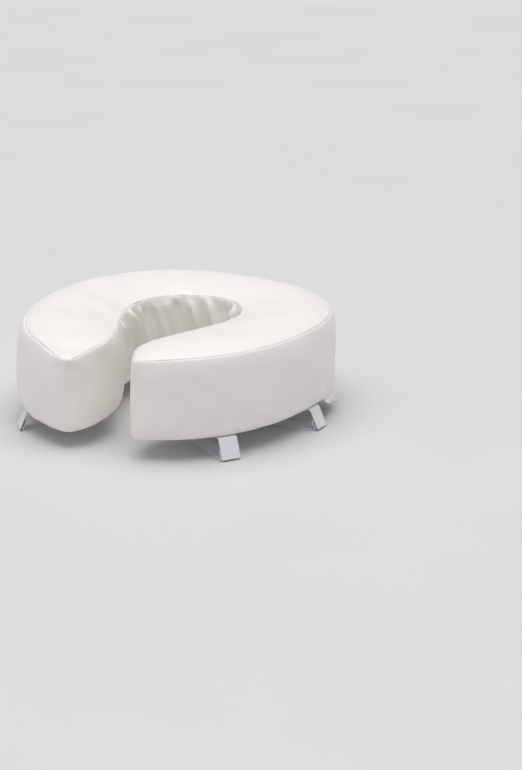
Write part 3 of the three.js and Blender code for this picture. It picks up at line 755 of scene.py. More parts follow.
def valley(distance, run):
    depth = VALLEY_DEPTH if run.is_outer else INNER_VALLEY_DEPTH
    return depth * bell(distance, VALLEY_WIDTH)


def foot_valley(from_foot, run):
    """The bottom seam's valley as a move of the cloth, almost none of it along the zip."""
    dip = valley(from_foot, run) * (1 - ZIP_VALLEY_LOSS * run.zip_share())[:, None]
    return foot_directions(run)[:, None] * dip[..., None]


def fold_pattern(run, depth_below, rng):
    """Slanting folds of the lining, sharper on their ridges than in their hollows."""
    slid = run.length[:, None] + FOLD_SLANT * depth_below
    wave = ripple(slid, FOLD_WAVES, rng)
    fine = ripple(slid, FINE_FOLD_WAVES, rng)
    folds = np.exp(FOLD_SHARPNESS * wave) - FOLD_MIDDLE + FINE_FOLD_SHARE * fine
    from_join = run.length[:, None] - run.length[-1] / 2 + LINING_JOIN
    return folds * (1 - bell(from_join, JOIN_FLAT)) - JOIN_DEPTH * bell(from_join, JOIN_WIDTH)


def lining_folds(run, from_top, from_foot, rng):
    """The folds, fading towards both seams and towards the channel."""
    lower = LOW_FOLD_SHARE + (1 - LOW_FOLD_SHARE) * np.exp(-from_top / FOLD_RUN)
    fade = smooth(0, FOLD_TOP_FADE, from_top) * lower * smooth(0, FOLD_FOOT_FADE, from_foot)
    back = smooth(FOLD_START, FOLD_FULL, run.from_tip)
    share = FRONT_FOLD_SHARE + (1 - FRONT_FOLD_SHARE) * back
    return FOLD_DEPTH * fold_pattern(run, from_top, rng) * fade * share[:, None]


def corner_hollow(run, depth_below):
    """Hollow and crease in the cloth just under each front corner."""
    strength = np.where(run.is_left, 1.0, RIGHT_CORNER_SHARE)[:, None]
    from_tip = run.from_tip[:, None]
    dent = DENT_DEPTH * bell(from_tip, DENT_REACH) * bell(depth_below - DENT_BELOW, DENT_HEIGHT)
    off_crease = depth_below - CREASE_BELOW - CREASE_SLOPE * from_tip
    crease = CREASE_DEPTH * bell(off_crease, CREASE_WIDTH) * bell(from_tip - CREASE_MIDDLE, CREASE_REACH)
    return -strength * (dent + crease)


def shaped_wall(wall, run, name, gathers, rng):
    """A side wall with its seams, gathers, folds and unevenness."""
    from_foot = row_lengths(wall)
    from_top = from_foot[:, -1:] - from_foot
    inside = np.clip(from_top / WALL_TOP_FADE, 0, 1) * np.clip(from_foot / WALL_FOOT_FADE, 0, 1)
    over_zip = run.zip_share()[:, None] * (1 - smooth(ZIP_CALM, ZIP_CALM_END, from_foot))
    along = run.length[:, None] + 0 * from_top
    push = inside * sum(
        height * swells(along, stretch * from_top, wavelength, rng)
        for wavelength, height, stretch in WALL_SWELLS
    )
    if not run.is_outer:
        push += lining_folds(run, from_top, from_foot, rng)
    push = push * (1 - run.at_tip[:, None]) * (1 - over_zip) + corner_hollow(run, from_top)
    shaped = wall + grid_normals(wall, name) * push[..., None]
    reach = OUTER_GATHER_REACH if run.is_outer else INNER_GATHER_REACH
    lift = gathers.height(from_top, reach) - valley(from_top, run)
    return shaped + seam_directions(run)[:, None] * lift[..., None] - foot_valley(from_foot, run)


def shaped_top(top, runs, gathers, rng):
    from_outer = row_lengths(top)
    from_inner = from_outer[:, -1:] - from_outer
    quiet = smooth(0, TOP_EDGE_FADE, np.minimum(from_outer, from_inner))
    push = quiet * sum(
        height * swells(top[..., 0], top[..., 1], wavelength, rng) for wavelength, height in TOP_SWELLS
    )
    shaped = top + grid_normals(top, "top") * push[..., None]
    for run, gather, distance in zip(runs, gathers, (from_outer, from_inner)):
        lift = gather.height(distance, TOP_GATHER_REACH) - valley(distance, run)
        shaped += seam_directions(run)[:, None] * lift[..., None]
    return shaped


def shaped_bottom(bottom, runs):
    from_outer = row_lengths(bottom)
    from_inner = from_outer[:, -1:] - from_outer
    return bottom - foot_valley(from_outer, runs[0]) - foot_valley(from_inner, runs[1])


# ------------------------------------------------------------------ cover pieces


def make_cover():
    """Grids of the finished cover's four panels, and the runs they follow."""
    runs = edge_runs(COLUMNS)
    panels = cover_panels(runs, WALL_ROWS, TOP_ROWS, BOTTOM_ROWS)
    blow_up(panels)
    rng = np.random.default_rng(SEED)
    gathers = [Gathers(run, rng) for run in runs]
    return {
        "outer": shaped_wall(panels["outer"], runs[0], "outer", gathers[0], rng),
        "inner": shaped_wall(panels["inner"], runs[1], "inner", gathers[1], rng),
        "top": shaped_top(panels["top"], runs, gathers, rng),
        "bottom": shaped_bottom(panels["bottom"], runs),
    }, runs


def zip_cut(panel):
    """Which quads of the outer wall stay: those above the zip and beyond its ends."""
    angle = np.arctan2(panel[:-1, 0, 1] - SHIFT_Y, np.abs(panel[:-1, 0, 0]))
    rows = np.arange(panel.shape[1] - 1)
    zip_row = np.argmin(np.abs(panel[:, :, 2].mean(0) - ZIP_TOP))
    return (angle < ZIP_START)[:, None] | (rows >= zip_row)[None]


def add_panel(name, panel, normals, kind, material, node, keep=None):
    """One cloth panel with its thickness, shaded by the given normals."""
    sheets = (panel, panel - normals * CLOTH_THICKNESS)
    if TURNED[kind]:
        sheets = [sheet[::-1] for sheet in sheets]
        normals = normals[::-1]
    obj = closed_sheet(name, *sheets, keep)
    shading = np.concatenate([normals.reshape(-1, 3), -normals.reshape(-1, 3)])
    obj.data.normals_split_custom_set_from_vertices(shading.tolist())
    finish_piece(obj, "pad", material, "cover", node)


def add_cover(panels, materials):
    vinyl, lining = materials["vinyl"], materials["lining"]
    outer, inner = panels["outer"], panels["inner"]
    outer_normals, inner_normals = band_normals(outer, inner)
    keep = zip_cut(outer)
    add_panel("cover_side_outer", outer, outer_normals, "outer", vinyl, "cover_outer_boxing", keep)
    add_panel("cover_side_inner", inner, inner_normals, "inner", lining, "cover_inner_boxing")
    for name in ("top", "bottom"):
        normals = grid_normals(panels[name], name)
        add_panel(f"cover_{name}", panels[name], normals, name, vinyl, f"cover_{name}_panel")


def foam_wall(run):
    """One side of the foam, moved in from the cover and away from its two seams."""
    wall = wall_points(run, stations(FOAM_WALL_ROWS))
    low, high = wall[:, :1, 2], wall[:, -1:, 2]
    wall[..., 2] += FOAM_GAP * (1 - 2 * (wall[..., 2] - low) / (high - low))
    wall[..., :2] += run.inward[:, None] * FOAM_GAP
    return wall


def add_foam(materials):
    """The foam block, a little smaller than the cover it fills."""
    walls = [foam_wall(run) for run in edge_runs(FOAM_COLUMNS)]
    points, faces, _ = welded(joined_panels(*walls, FOAM_TOP_ROWS, FOAM_BOTTOM_ROWS))
    finish_piece(mesh_object("foam_block", points, faces), "pad", materials["foam"], "foam", "foam_core")


# ------------------------------------------------------------------ stitching


def stitch_rows(points, ups, pitch):
    """Centres, directions and up vectors of stitches spaced along a line."""
    count = max(2, int(run_lengths(points)[-1] / pitch))
    placed, up = evenly(points, count, ups)
    return placed, unit(np.gradient(placed, axis=0)), unit(up)


def stitches(name, placed, ahead, up, length=STITCH_LENGTH, radius=STITCH_RADIUS):
    """Short thread loops, each dipping into the cloth at both ends."""
    side = unit(np.cross(up, ahead))[:, None, None]
    along = np.array(STITCH_ALONG)[:, None] * length / 2
    lift = np.array(STITCH_LIFT)[:, None] * radius
    size = np.array(STITCH_SIZE)[:, None] * radius
    turn = np.arange(STITCH_SIDES) * math.tau / STITCH_SIDES
    ahead, up = ahead[:, None, None], up[:, None, None]
    centre = placed[:, None, None] + ahead * along[..., None] + up * lift[..., None]
    points = centre + up * (size * np.cos(turn))[..., None] + side * (size * np.sin(turn))[..., None]
    return mesh_object(name, *tube_parts(points))


def add_seam_stitches(panels, runs, materials):
    for edge, row, direction in (("top", -1, seam_directions), ("bottom", 0, foot_directions)):
        points = np.concatenate([panels["outer"][:, row], panels["inner"][::-1, row][1:]])
        ups = np.concatenate([direction(runs[0]), direction(runs[1])[::-1][1:]])
        placed = stitch_rows(points + ups * SEAM_STITCH_LIFT, ups, SEAM_STITCH_PITCH)
        obj = stitches(f"{edge}_seam_stitches", *placed)
        finish_piece(obj, "pad", materials["thread"], "thread", f"{edge}_seam_thread")


# ------------------------------------------------------------------ zip


def back_point(angle, radius, z):
    return np.stack([radius * np.cos(angle), radius * np.sin(angle) + SHIFT_Y, z + 0 * angle], -1)


def add_zip_tape(side, material):
    """Ribbed woven strip that follows the back of the pad."""
    low, high = TAPES[side]
    start = ZIP_START - TAPE_TUCK
    angles = np.linspace(start, math.pi - start, TAPE_COLUMNS)[:, None]
    heights = np.linspace(low, high, TAPE_ROWS)[None]
    ribs = TAPE_RIB * np.cos(2 * math.pi * (heights - low) / TAPE_RIB_PITCH)
    front = back_point(angles, TAPE_RADIUS + ribs, heights)
    back = back_point(angles, TAPE_RADIUS - TAPE_THICKNESS + 0 * ribs, heights)
    obj = closed_sheet(f"zip_tape_{side}", front, back)
    finish_piece(obj, "pad", material, "tape", f"zip_{side}_tape")


def tooth_points(cord, tips, offset):
    """Blocks that stand out from the tapes, offset by part of a pitch on each side of the zip."""
    count = int((math.pi - 2 * ZIP_START - 2 * CHAIN_MARGIN) * HALF_WIDTH / TOOTH_PITCH)
    centre = ZIP_START + CHAIN_MARGIN + (np.arange(count) + offset) * TOOTH_PITCH / HALF_WIDTH
    low, high = min(cord, tips), max(cord, tips)
    rings = []
    for inset, radius in TOOTH_RINGS:
        half = TOOTH_WIDTH / 2 / HALF_WIDTH * (1 - inset)
        corners = ((-1, high - inset), (1, high - inset), (1, low + inset), (-1, low + inset))
        rings.append(np.stack([back_point(centre + side * half, radius, z) for side, z in corners], 1))
    return np.stack(rings, 1)


def cord_points(z):
    """Round cord with small swells where each tooth grips it."""
    start = ZIP_START + CHAIN_MARGIN
    angles = np.linspace(start, math.pi - start, CORD_RINGS)[:, None]
    turn = -np.arange(CORD_SIDES) * math.tau / CORD_SIDES
    grip = CORD_THICKNESS + CORD_GRIP * np.cos(2 * math.pi * angles * HALF_WIDTH / TOOTH_PITCH)
    radius = CORD_RADIUS + grip * np.cos(turn)
    return back_point(angles + 0 * turn, radius, z + grip * np.sin(turn))[None]


def add_zip_teeth(side, material):
    """One side of the closed zip: a cord along the tape's edge and the teeth that grow from it."""
    cord, tips, offset = TEETH[side]
    teeth, faces = tube_parts(tooth_points(cord, tips, offset))
    rope, rope_faces = tube_parts(cord_points(cord), len(teeth))
    obj = mesh_object(f"zip_teeth_{side}", np.concatenate([teeth, rope]), faces + rope_faces)
    finish_piece(obj, "pad", material, "zip", f"zip_{side}_chain")


def add_zip(panels, materials, nodes):
    angles = np.linspace(ZIP_START, math.pi - ZIP_START, TOPSTITCHING_POINTS)
    outward = np.stack([np.cos(angles), np.sin(angles), 0 * angles], -1)
    for side, (z, radius) in TOPSTITCHING.items():
        add_zip_tape(side, materials["tape"])
        add_zip_teeth(side, materials["zip"])
        placed = stitch_rows(back_point(angles, radius, z), outward, ZIP_STITCH_PITCH)
        finish_piece(stitches(f"zip_topstitch_{side}", *placed), "pad", materials["thread"], "thread")
    for node, kind in ZIP_ENDS.items():
        bevel = nodes[node].modifiers.new("soft_edges", "BEVEL")
        bevel.width = METAL_BEVEL * MM
        bevel.segments = 2
        bevel.limit_method = "ANGLE"
        nodes[node].data.materials.clear()
        nodes[node].data.materials.append(materials[kind])
    add_zip_flap(panels["outer"], materials)


def wall_radius(panel, level, angles):
    """How far the right half of the outer wall stands from the back arc's centre at one level."""
    row = np.interp(level, panel[:, :, 2].mean(0), np.arange(panel.shape[1]))
    low = int(row)
    edge = panel[:, low] * (low + 1 - row) + panel[:, low + 1] * (row - low) - [0, SHIFT_Y, 0]
    right = edge[edge[:, 0] > 0]
    return np.interp(angles, np.arctan2(right[:, 1], right[:, 0]), np.hypot(right[:, 0], right[:, 1]))


def add_zip_flap(panel, materials):
    """Loose cloth over the end of the zip: its lower edge hangs free and its front edge curls."""
    along = np.linspace(0, 1, FLAP_COLUMNS)[:, None]
    below = np.linspace(1, 0, FLAP_ROWS)[None]
    free = smooth(FLAP_FREE, 1, below)
    slant = FLAP_LEAD_SLANT * free * (1 - along) ** 3
    angle = FLAP_START + (FLAP_END - FLAP_START) * along + slant
    levels = FLAP_TOP - (FLAP_TOP - FLAP_LOW) * below[0]
    wall = np.stack([wall_radius(panel, z, angle[:, k]) for k, z in enumerate(levels)], 1)
    lip = FLAP_LIP * free * bell(along, FLAP_LIP_WIDTH)
    ripples = np.sin(FLAP_SWAY_ALONG * along + FLAP_SWAY_BELOW * below)
    sway = FLAP_SWAY * ripples * below ** 2 * smooth(0, FLAP_SWAY_FULL, along)
    rear_hang = FLAP_REAR_HANG * smooth(0, FLAP_REAR_FULL, along) * below ** FLAP_REAR_POWER
    hang = FLAP_HANG * below ** FLAP_HANG_POWER + rear_hang
    radius = wall + FLAP_GAP + hang + lip + sway
    corner = np.clip((along - 1) / FLAP_CORNER + 1, 0, 1)
    low = FLAP_LOW + FLAP_CORNER_RISE * (1 - np.sqrt(1 - corner ** 2))
    z = FLAP_TOP - (FLAP_TOP - low) * below + FLAP_WAVE * np.sin(FLAP_WAVE_ALONG * along) * below
    front = back_point(angle, radius, z)
    obj = closed_sheet("zip_flap", front, back_point(angle, radius - CLOTH_THICKNESS, z))
    finish_piece(obj, "pad", materials["vinyl"], "cover", "zip_end_flap")
    outward = unit(front[:, 0] - [0, SHIFT_Y, FLAP_TOP])
    placed = stitch_rows(front[:, FLAP_STITCH_ROW], outward, ZIP_STITCH_PITCH)
    finish_piece(stitches("zip_flap_stitches", *placed), "pad", materials["thread"], "thread")


# ------------------------------------------------------------------ straps


class StrapPlace:
    """Where one strap sits: its hinge lines and its directions out and across."""

    def __init__(self, frame, site):
        joints = {j["name"]: j for j in frame["record"]["behaviour"]["joints"]}
        lift = joints[f"{site}_tab_lift"]
        self.site = site
        self.hinge = np.array(lift["pos_m"]) / MM
        self.corner = np.array(joints[f"{site}_end_unroll"]["pos_m"]) / MM
        self.across = np.array(lift["axis"])
        self.out = np.array([-self.across[1], self.across[0], 0])
        self.up = np.array([0, 0, 1.0])

    def at(self, start, out, up):
        return start + self.out * out + self.up * up


def rounded_path(corners, radii, spacing):
    """Side-on path through corner points with each inner corner rounded off."""
    corners = [np.array(c, float) for c in corners]
    path = [corners[0]]
    for before, corner, after, radius in zip(corners, corners[1:], corners[2:], radii):
        start = corner - unit(corner - before) * radius
        end = corner + unit(after - corner) * radius
        for t in np.linspace(0, 1, BEND_POINTS):
            path.append(start * (1 - t) ** 2 + corner * 2 * t * (1 - t) + end * t ** 2)
    path.append(corners[-1])
    path = np.array(path)
    return evenly(path, max(4, int(run_lengths(path)[-1] / spacing)))


def recalculated(obj):
    """Turns all faces of a closed mesh outwards."""
    work = bmesh.new()
    work.from_mesh(obj.data)
    bmesh.ops.recalc_face_normals(work, faces=work.faces)
    work.to_mesh(obj.data)
    work.free()
    return obj


def web(name, place, start, path, width=WEB_WIDTH, thickness=WEB):
    """Flat ribbed webbing swept along a side-on path of (out, up) points from a start point."""
    ahead = unit(np.gradient(path, axis=0))
    square = np.stack([ahead[:, 1], -ahead[:, 0]], -1)
    side = np.linspace(-1, 1, WEB_POINTS)
    y = side * width / 2
    edge = np.sqrt(1 - np.clip((np.abs(side) - 1) / WEB_EDGE + 1, 0, 1) ** 2)
    ribs = RIB_HEIGHT * np.cos(2 * math.pi * y / RIB_PITCH)
    selvedge = SELVEDGE_HEIGHT * bell(np.abs(y) - width / 2 + SELVEDGE_INSET, SELVEDGE_WIDTH)
    taper = WEB_EDGE_SIZE + (1 - WEB_EDGE_SIZE) * edge
    half = (thickness / 2 - RIB_ROOM + ribs + selvedge) * taper
    sheets = []
    for face in (-1, 1):
        plan = path[:, None] + square[:, None] * (face * half)[None, :, None]
        points = place.at(start, plan[..., :1], plan[..., 1:])
        sheets.append(points + place.across * y[None, :, None])
    return recalculated(closed_sheet(name, *sheets))


def tab_directions():
    """Down along the hanging tab, and out from its face, as (out, up) points."""
    down = np.array([math.sin(TAB_LEAN), -math.cos(TAB_LEAN)])
    outward = np.array([math.cos(TAB_LEAN), math.sin(TAB_LEAN)])
    return down, outward


def add_bending_web(place, kind, start, path, toward, nodes, material):
    """Webbing sewn to the pad along a side-on path, toward being its way past the bend."""
    obj = web(f"{place.site}_{kind}_web", place, start, path)
    finish_piece(obj, None, material, "webbing", *(f"{place.site}_{node}" for node in nodes))
    before = place.at(start, -np.linalg.norm(toward), 0)
    after = place.at(start, *toward)
    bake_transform(obj)


def add_tab(place, material):
    """Short tab: sewn under the pad, turning down outside the seat ring."""
    down, _ = tab_directions()
    path = rounded_path([(-TAB_SEWN, 0), (0, 0), down * TAB_LENGTH], [TAB_BEND], TAB_SPACING)
    nodes = ("tab_anchor", "tab")
    add_bending_web(place, "tab", place.hinge, path, down * TAB_TURN, nodes, material)


def add_long_strap(place, material):
    """Long strap: sewn under the pad, down at the inner edge, under the ring and up behind the tab."""
    down, _ = tab_directions()
    rise = place.hinge[2] - place.corner[2]
    inner = -LONG_REACH - np.dot(place.corner - place.hinge, place.out)
    bulge = inner - LONG_BULGE
    corners = [(inner + LONG_SEWN, rise), (bulge, rise), (bulge, 0), (0, 0), -down * LONG_END]
    path = rounded_path(corners, LONG_BENDS, LONG_SPACING)
    nodes = ("long_strap", "strap_end")
    add_bending_web(place, "long", place.corner, path, -down * LONG_TURN, nodes, material)


def pile(name, place, start, path, outward, shape, counts, rng):
    """Many small bent fibres standing on a patch, in rows along it and across it."""
    ahead = unit(path[-1] - path[0])
    rows = np.linspace(PILE_MARGIN, 1 - PILE_MARGIN, counts[0])
    places = np.linspace(-PILE_HALF_WIDTH, PILE_HALF_WIDTH, counts[1]) * PATCH_WIDTH
    along = np.repeat(rows, counts[1])[:, None, None]
    across = np.tile(places, counts[0])[:, None, None]
    draws = rng.uniform(FIBRE_LEAST, FIBRE_MOST, (len(along), 3))
    turn, size, shift = draws.T[..., None, None]
    step, rise, thick = np.array(shape).T[..., None]
    spin = -np.arange(FIBRE_SIDES) * math.tau / FIBRE_SIDES
    forward = step * size * np.cos(turn) + thick * np.cos(spin)
    sideways = across + shift + step * size * np.sin(turn) + thick * np.sin(spin)
    root = path[0] + (path[-1] - path[0]) * along[..., None]
    plan = root + ahead * forward[..., None] + outward * (rise * size)[..., None]
    points = place.at(start, plan[..., :1], plan[..., 1:]) + place.across * sideways[..., None]
    return mesh_object(name, *tube_parts(points))


def add_patch(place, kind, body, start, path, outward, shape, counts, material, rng):
    """A piece of tape with its hooks or loops standing on one face."""
    path = path + outward * PATCH_STANDOFF
    tape = web(f"{place.site}_{kind}_tape", place, start, path, PATCH_WIDTH, PATCH_THICKNESS)
    finish_piece(tape, f"{place.site}_{body}", material, kind, f"{place.site}_{kind}_patch")
    path = path + outward * PILE_STANDOFF
    fibres = pile(f"{place.site}_{kind}s", place, start, path, outward, shape, counts, rng)
    finish_piece(fibres, f"{place.site}_{body}", material, kind)


def add_patches(place, materials, rng):
    """Hook tape inside the tab and loop tape outside the strap's turned-up end."""
    down, outward = tab_directions()
    hook_path = np.linspace(down * HOOK_SPAN[0], down * HOOK_SPAN[1], HOOK_TAPE_POINTS)
    loop_path = np.linspace(-down * LOOP_SPAN[0], -down * LOOP_SPAN[1], LOOP_TAPE_POINTS)
    add_patch(place, "hook", "tab", place.hinge, hook_path, -outward, HOOK_SHAPE, HOOK_COUNTS,
              materials["hook"], rng)
    add_patch(place, "loop", "end", place.corner, loop_path, outward, LOOP_SHAPE, LOOP_COUNTS,
              materials["loop"], rng)


def add_box_stitches(place, material):
    """Box of stitches with a cross that holds each sewn strap end under the pad."""
    placed = []
    ahead = []
    for middle in BOX_MIDDLES:
        line = [
            place.at(place.hinge, middle + a * BOX_HALF_LONG, -BOX_DROP)
            + place.across * b * BOX_HALF_WIDE
            for a, b in BOX_CORNERS
        ]
        for a, b in zip(line, line[1:]):
            steps = int(np.linalg.norm(b - a) / BOX_STITCH_PITCH)
            placed.append(a + (b - a) * (np.arange(steps) + 0.5)[:, None] / steps)
            ahead.append(np.tile(unit(b - a), (steps, 1)))
    placed, ahead = np.concatenate(placed), np.concatenate(ahead)
    down = np.tile([0, 0, -1.0], (len(placed), 1))
    name = f"{place.site}_box_stitch"
    obj = stitches(name, placed, ahead, down, BOX_STITCH_LENGTH, BOX_STITCH_RADIUS)
    finish_piece(obj, "pad", material, "thread")


def add_straps(frame, materials):
    rng = np.random.default_rng(SEED + 1)
    for site in SITES:
        place = StrapPlace(frame, site)
        add_tab(place, materials["webbing"])
        add_long_strap(place, materials["webbing"])
        add_patches(place, materials, rng)
        add_box_stitches(place, materials["thread"])


# ------------------------------------------------------------------ materials


class Shader:
    """A principled material and short calls for adding nodes to it."""

    def __init__(self, name, color, roughness):
        self.material = bpy.data.materials.new(name)
        self.material.use_nodes = True
        self.tree = self.material.node_tree
        self.surface = self.tree.nodes["Principled BSDF"]
        self.finish({"Base Color": (*color, 1), "Roughness": roughness})
        self.place = self.node("ShaderNodeTexCoord").outputs["Object"]

    def feed(self, node, inputs):
        """Gives a node's inputs plain values or links them to other nodes."""
        for key, value in inputs.items():
            if isinstance(value, bpy.types.NodeSocket):
                self.tree.links.new(value, node.inputs[key])
            else:
                node.inputs[key].default_value = value

    def finish(self, inputs):
        self.feed(self.surface, inputs)
        return self.material

    def node(self, kind, inputs=None, **settings):
        made = self.tree.nodes.new(kind)
        for key, value in settings.items():
            setattr(made, key, value)
        self.feed(made, inputs or {})
        return made

    def noise(self, scale, detail=3.0, rough=0.5):
        inputs = {"Vector": self.place, "Scale": scale, "Detail": detail, "Roughness": rough}
        return self.node("ShaderNodeTexNoise", inputs).outputs["Fac"]

    def cells(self, scale):
        inputs = {"Vector": self.place, "Scale": scale}
        return self.node("ShaderNodeTexVoronoi", inputs).outputs["Distance"]

    def spread(self, value, low, high, to_low=0.0, to_high=1.0):
        inputs = {"Value": value, "From Min": low, "From Max": high, "To Min": to_low, "To Max": to_high}
        return self.node("ShaderNodeMapRange", inputs).outputs["Result"]

    def times(self, first, second):
        return self.node("ShaderNodeMath", {0: first, 1: second}, operation="MULTIPLY").outputs[0]

    def sine(self, value):
        return self.node("ShaderNodeMath", {0: value}, operation="SINE").outputs[0]

    def mix(self, factor, first, second):
        """Blend of two colours; the mix node's colour sockets are numbers 6, 7 and, going out, 2."""
        first, second = ((*c, 1) if isinstance(c, tuple) else c for c in (first, second))
        return self.node("ShaderNodeMix", {0: factor, 6: first, 7: second}, data_type="RGBA").outputs[2]

    def creases(self, low, high):
        """1 in hollows and 0 on open cloth and edges: the mask for the shade painted into hollows."""
        geometry = self.node("ShaderNodeNewGeometry")
        return self.spread(geometry.outputs["Pointiness"], low, high, 1.0, 0.0)

    def bump(self, height, distance, strength=1.0, under=None):
        inputs = {"Height": height, "Distance": distance, "Strength": strength}
        if under is not None:
            inputs["Normal"] = under
        return self.node("ShaderNodeBump", inputs).outputs["Normal"]


def vinyl(name, dark, light):
    """Coated cloth: cloudy colour, patchy dirt mixed with painted shade in its hollows, fine grain and a
    faint sheen.
    """
    shader = Shader(name, light, 0.45)
    cloudy = shader.spread(shader.noise(14, 2), 0.35, 0.65)
    patchy = shader.spread(shader.noise(55, 4), 0.3, 0.7, 0.15, 0.35)
    # Painted shade: the colour turns grey-brown in the mesh's hollows, broken up by patchy dirt.
    soil_and_shade = shader.times(shader.creases(0.42, 0.49), patchy)
    uneven = shader.spread(shader.noise(900, 2), 0.2, 0.8, 0.6, 1.0)
    grain = shader.times(shader.cells(1150), uneven)
    broad = shader.bump(shader.noise(70), 0.0005, 0.35)
    return shader.finish({
        "Base Color": shader.mix(soil_and_shade, shader.mix(cloudy, dark, light), (0.70, 0.675, 0.65)),
        "Roughness": shader.spread(shader.noise(42, 4, 0.6), 0.3, 0.7, 0.4, 0.56),
        "Normal": shader.bump(grain, 0.00012, 0.45, broad),
        "Sheen Weight": 0.08,
        "Sheen Roughness": 0.5,
        "Specular IOR Level": 0.42,
    })


def foam():
    shader = Shader("open_cell_foam", (0.83, 0.77, 0.55), 0.95)
    pores = shader.cells(620)
    return shader.finish({
        # Painted shade: the colour darkens into each pore, where the bump sinks the surface.
        "Base Color": shader.mix(shader.spread(pores, 0.0, 0.6), (0.62, 0.53, 0.31), (0.87, 0.81, 0.6)),
        "Normal": shader.bump(pores, 0.0006, 0.9),
    })


def thread():
    shader = Shader("sewing_thread", (0.72, 0.71, 0.7), 0.6)
    inputs = {"Vector": shader.place, "Scale": 900.0, "Distortion": 1.5}
    twist = shader.node("ShaderNodeTexWave", inputs).outputs["Fac"]
    return shader.finish({
        "Base Color": shader.mix(twist, (0.62, 0.61, 0.6), (0.76, 0.75, 0.74)),
        "Normal": shader.bump(twist, 0.00008, 0.6),
        "Sheen Weight": 0.3,
    })


def woven(name, dark, light, across_mm, along_mm):
    """Plain weave on the cloth map: warp and weft threads crossing over and under."""
    shader = Shader(name, light, 0.72)
    cloth = shader.node("ShaderNodeTexCoord").outputs["UV"]
    axes = shader.node("ShaderNodeSeparateXYZ", {"Vector": cloth})
    turns = 2 * math.pi / MM
    along = shader.sine(shader.times(axes.outputs["X"], turns / along_mm))
    across = shader.sine(shader.times(axes.outputs["Y"], turns / across_mm))
    weave = shader.spread(shader.times(along, across), -1, 1)
    fuzz = shader.noise(2600, 2)
    worn = shader.spread(shader.noise(90), 0.35, 0.7)
    tone = shader.mix(shader.times(weave, 0.8), dark, light)
    return shader.finish({
        "Base Color": shader.mix(shader.times(worn, 0.25), tone, dark),
        "Roughness": shader.spread(fuzz, 0.3, 0.7, 0.62, 0.82),
        "Normal": shader.bump(fuzz, 0.00008, 0.4, shader.bump(weave, 0.00022, 0.7)),
        "Sheen Weight": 0.35,
        "Sheen Roughness": 0.4,
    })


def moulded(name, light, dark, roughness):
    shader = Shader(name, light, roughness)
    return shader.finish({
        "Base Color": shader.mix(shader.spread(shader.noise(160), 0.35, 0.65), dark, light),
        "Roughness": shader.spread(shader.noise(700), 0.3, 0.7, roughness - 0.06, roughness + 0.1),
        "Normal": shader.bump(shader.noise(1800, 2), 0.00004, 0.4),
    })


def brushed_loop():
    shader = Shader("brushed_loop", (0.82, 0.81, 0.85), 0.9)
    fuzz = shader.noise(1500, 4, 0.7)
    return shader.finish({
        "Base Color": shader.mix(shader.spread(fuzz, 0.3, 0.7), (0.68, 0.67, 0.72), (0.88, 0.87, 0.92)),
        "Normal": shader.bump(fuzz, 0.0003, 0.8),
        "Sheen Weight": 0.6,
    })


def plated():
    shader = Shader("plated_zinc", (0.62, 0.62, 0.63), 0.3)
    dull = shader.spread(shader.noise(260, 4), 0.4, 0.7)
    return shader.finish({
        "Metallic": 1.0,
        "Base Color": shader.mix(dull, (0.66, 0.66, 0.67), (0.48, 0.47, 0.46)),
        "Roughness": shader.spread(shader.noise(1300, 4), 0.3, 0.7, 0.22, 0.42),
        "Normal": shader.bump(shader.noise(2400), 0.00003, 0.5),
    })


def make_materials():
    return {
        "vinyl": vinyl("white_vinyl", (0.905, 0.878, 0.868), (0.925, 0.898, 0.888)),
        # The inner wall is the same vinyl painted brighter and warmer: painted light for the light
        # bounced inside the opening and a warm reflection.
        "lining": vinyl("inner_vinyl_painted_light", (0.925, 0.89, 0.85), (0.945, 0.912, 0.872)),
        "foam": foam(),
        "thread": thread(),
        "tape": woven("zip_tape_weave", (0.64, 0.63, 0.63), (0.82, 0.81, 0.81), 0.7, 0.9),
        "webbing": woven("strap_weave", (0.78, 0.77, 0.82), (0.93, 0.92, 0.97), RIB_PITCH, 1.1),
        "zip": moulded("zip_plastic", (0.80, 0.80, 0.79), (0.72, 0.72, 0.71), 0.34),
        "hook": moulded("hook_plastic", (0.80, 0.80, 0.83), (0.70, 0.70, 0.74), 0.5),
        "loop": brushed_loop(),
        "metal": plated(),
    }


# ------------------------------------------------------------------ studio


def add_floor():
    left, right, front, back = -FLOOR_SIDE, FLOOR_SIDE, -FLOOR_SIDE, FLOOR_BACK
    corners = [(left, front, 0), (right, front, 0), (right, back, 0), (left, back, 0)]
    obj = mesh_object("floor", corners, [(0, 1, 2, 3)])
    shader = Shader("pale_floor", (0.68, 0.68, 0.68), 0.85)
    cloudy = shader.spread(shader.noise(3, 2), 0.3, 0.7)
    color = shader.mix(cloudy, (0.67, 0.67, 0.67), (0.69, 0.69, 0.69))
    obj.data.materials.append(shader.finish({"Base Color": color}))


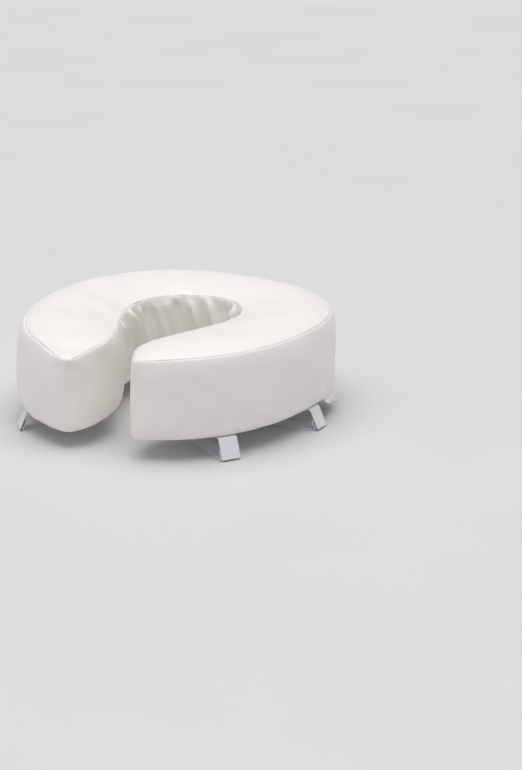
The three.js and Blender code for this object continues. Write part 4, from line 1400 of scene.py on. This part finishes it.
def add_sky():
    """Even light from all round, and a paler tone where the camera looks past the floor."""
    world = bpy.data.worlds.new("studio")
    bpy.context.scene.world = world
    world.use_nodes = True
    nodes, links = world.node_tree.nodes, world.node_tree.links
    background = nodes["Background"]
    background.inputs["Color"].default_value = SKY_COLOR
    strength = nodes.new("ShaderNodeMapRange")
    strength.inputs["To Min"].default_value = SKY_LIGHT
    strength.inputs["To Max"].default_value = SKY_SEEN
    links.new(nodes.new("ShaderNodeLightPath").outputs["Is Camera Ray"], strength.inputs["Value"])
    links.new(strength.outputs["Result"], background.inputs["Strength"])


def add_lamps():
    """Broad suns, each from a compass heading and a height above the floor."""
    for name, (heading, height, width, strength) in LAMPS.items():
        light = bpy.data.lights.new(name, "SUN")
        light.angle = math.radians(width)
        light.energy = strength
        obj = bpy.data.objects.new(name, light)
        bpy.context.scene.collection.objects.link(obj)
        obj.rotation_euler = (math.radians(90 - height), 0, math.radians(heading))


def add_camera():
    data = bpy.data.cameras.new("camera")
    data.sensor_width = SENSOR
    data.lens = CAMERA_LENS
    data.clip_end = FARTHEST
    obj = bpy.data.objects.new("camera", data)
    bpy.context.scene.collection.objects.link(obj)
    cos_pitch, sin_pitch = math.cos(CAMERA_PITCH), math.sin(CAMERA_PITCH)
    cos_yaw, sin_yaw = math.cos(CAMERA_YAW), math.sin(CAMERA_YAW)
    ahead = np.array([sin_yaw * cos_pitch, cos_yaw * cos_pitch, sin_pitch])
    right = np.array([cos_yaw, -sin_yaw, 0])
    up = np.cross(right, ahead)
    turn = Matrix([right, up, -ahead]).transposed().to_4x4()
    obj.matrix_world = Matrix.Translation(np.array(CAMERA_AT) * MM) @ turn
    bpy.context.scene.camera = obj


# ------------------------------------------------------------------ scene

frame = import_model()

materials = make_materials()
panels, runs = make_cover()
add_cover(panels, materials)
add_foam(materials)
add_seam_stitches(panels, runs, materials)
add_zip(panels, materials, frame["nodes"])
add_straps(frame, materials)
add_floor()
add_sky()
add_lamps()
add_camera()
bpy.context.scene.view_settings.view_transform = "Standard"

bpy.context.view_layer.update()
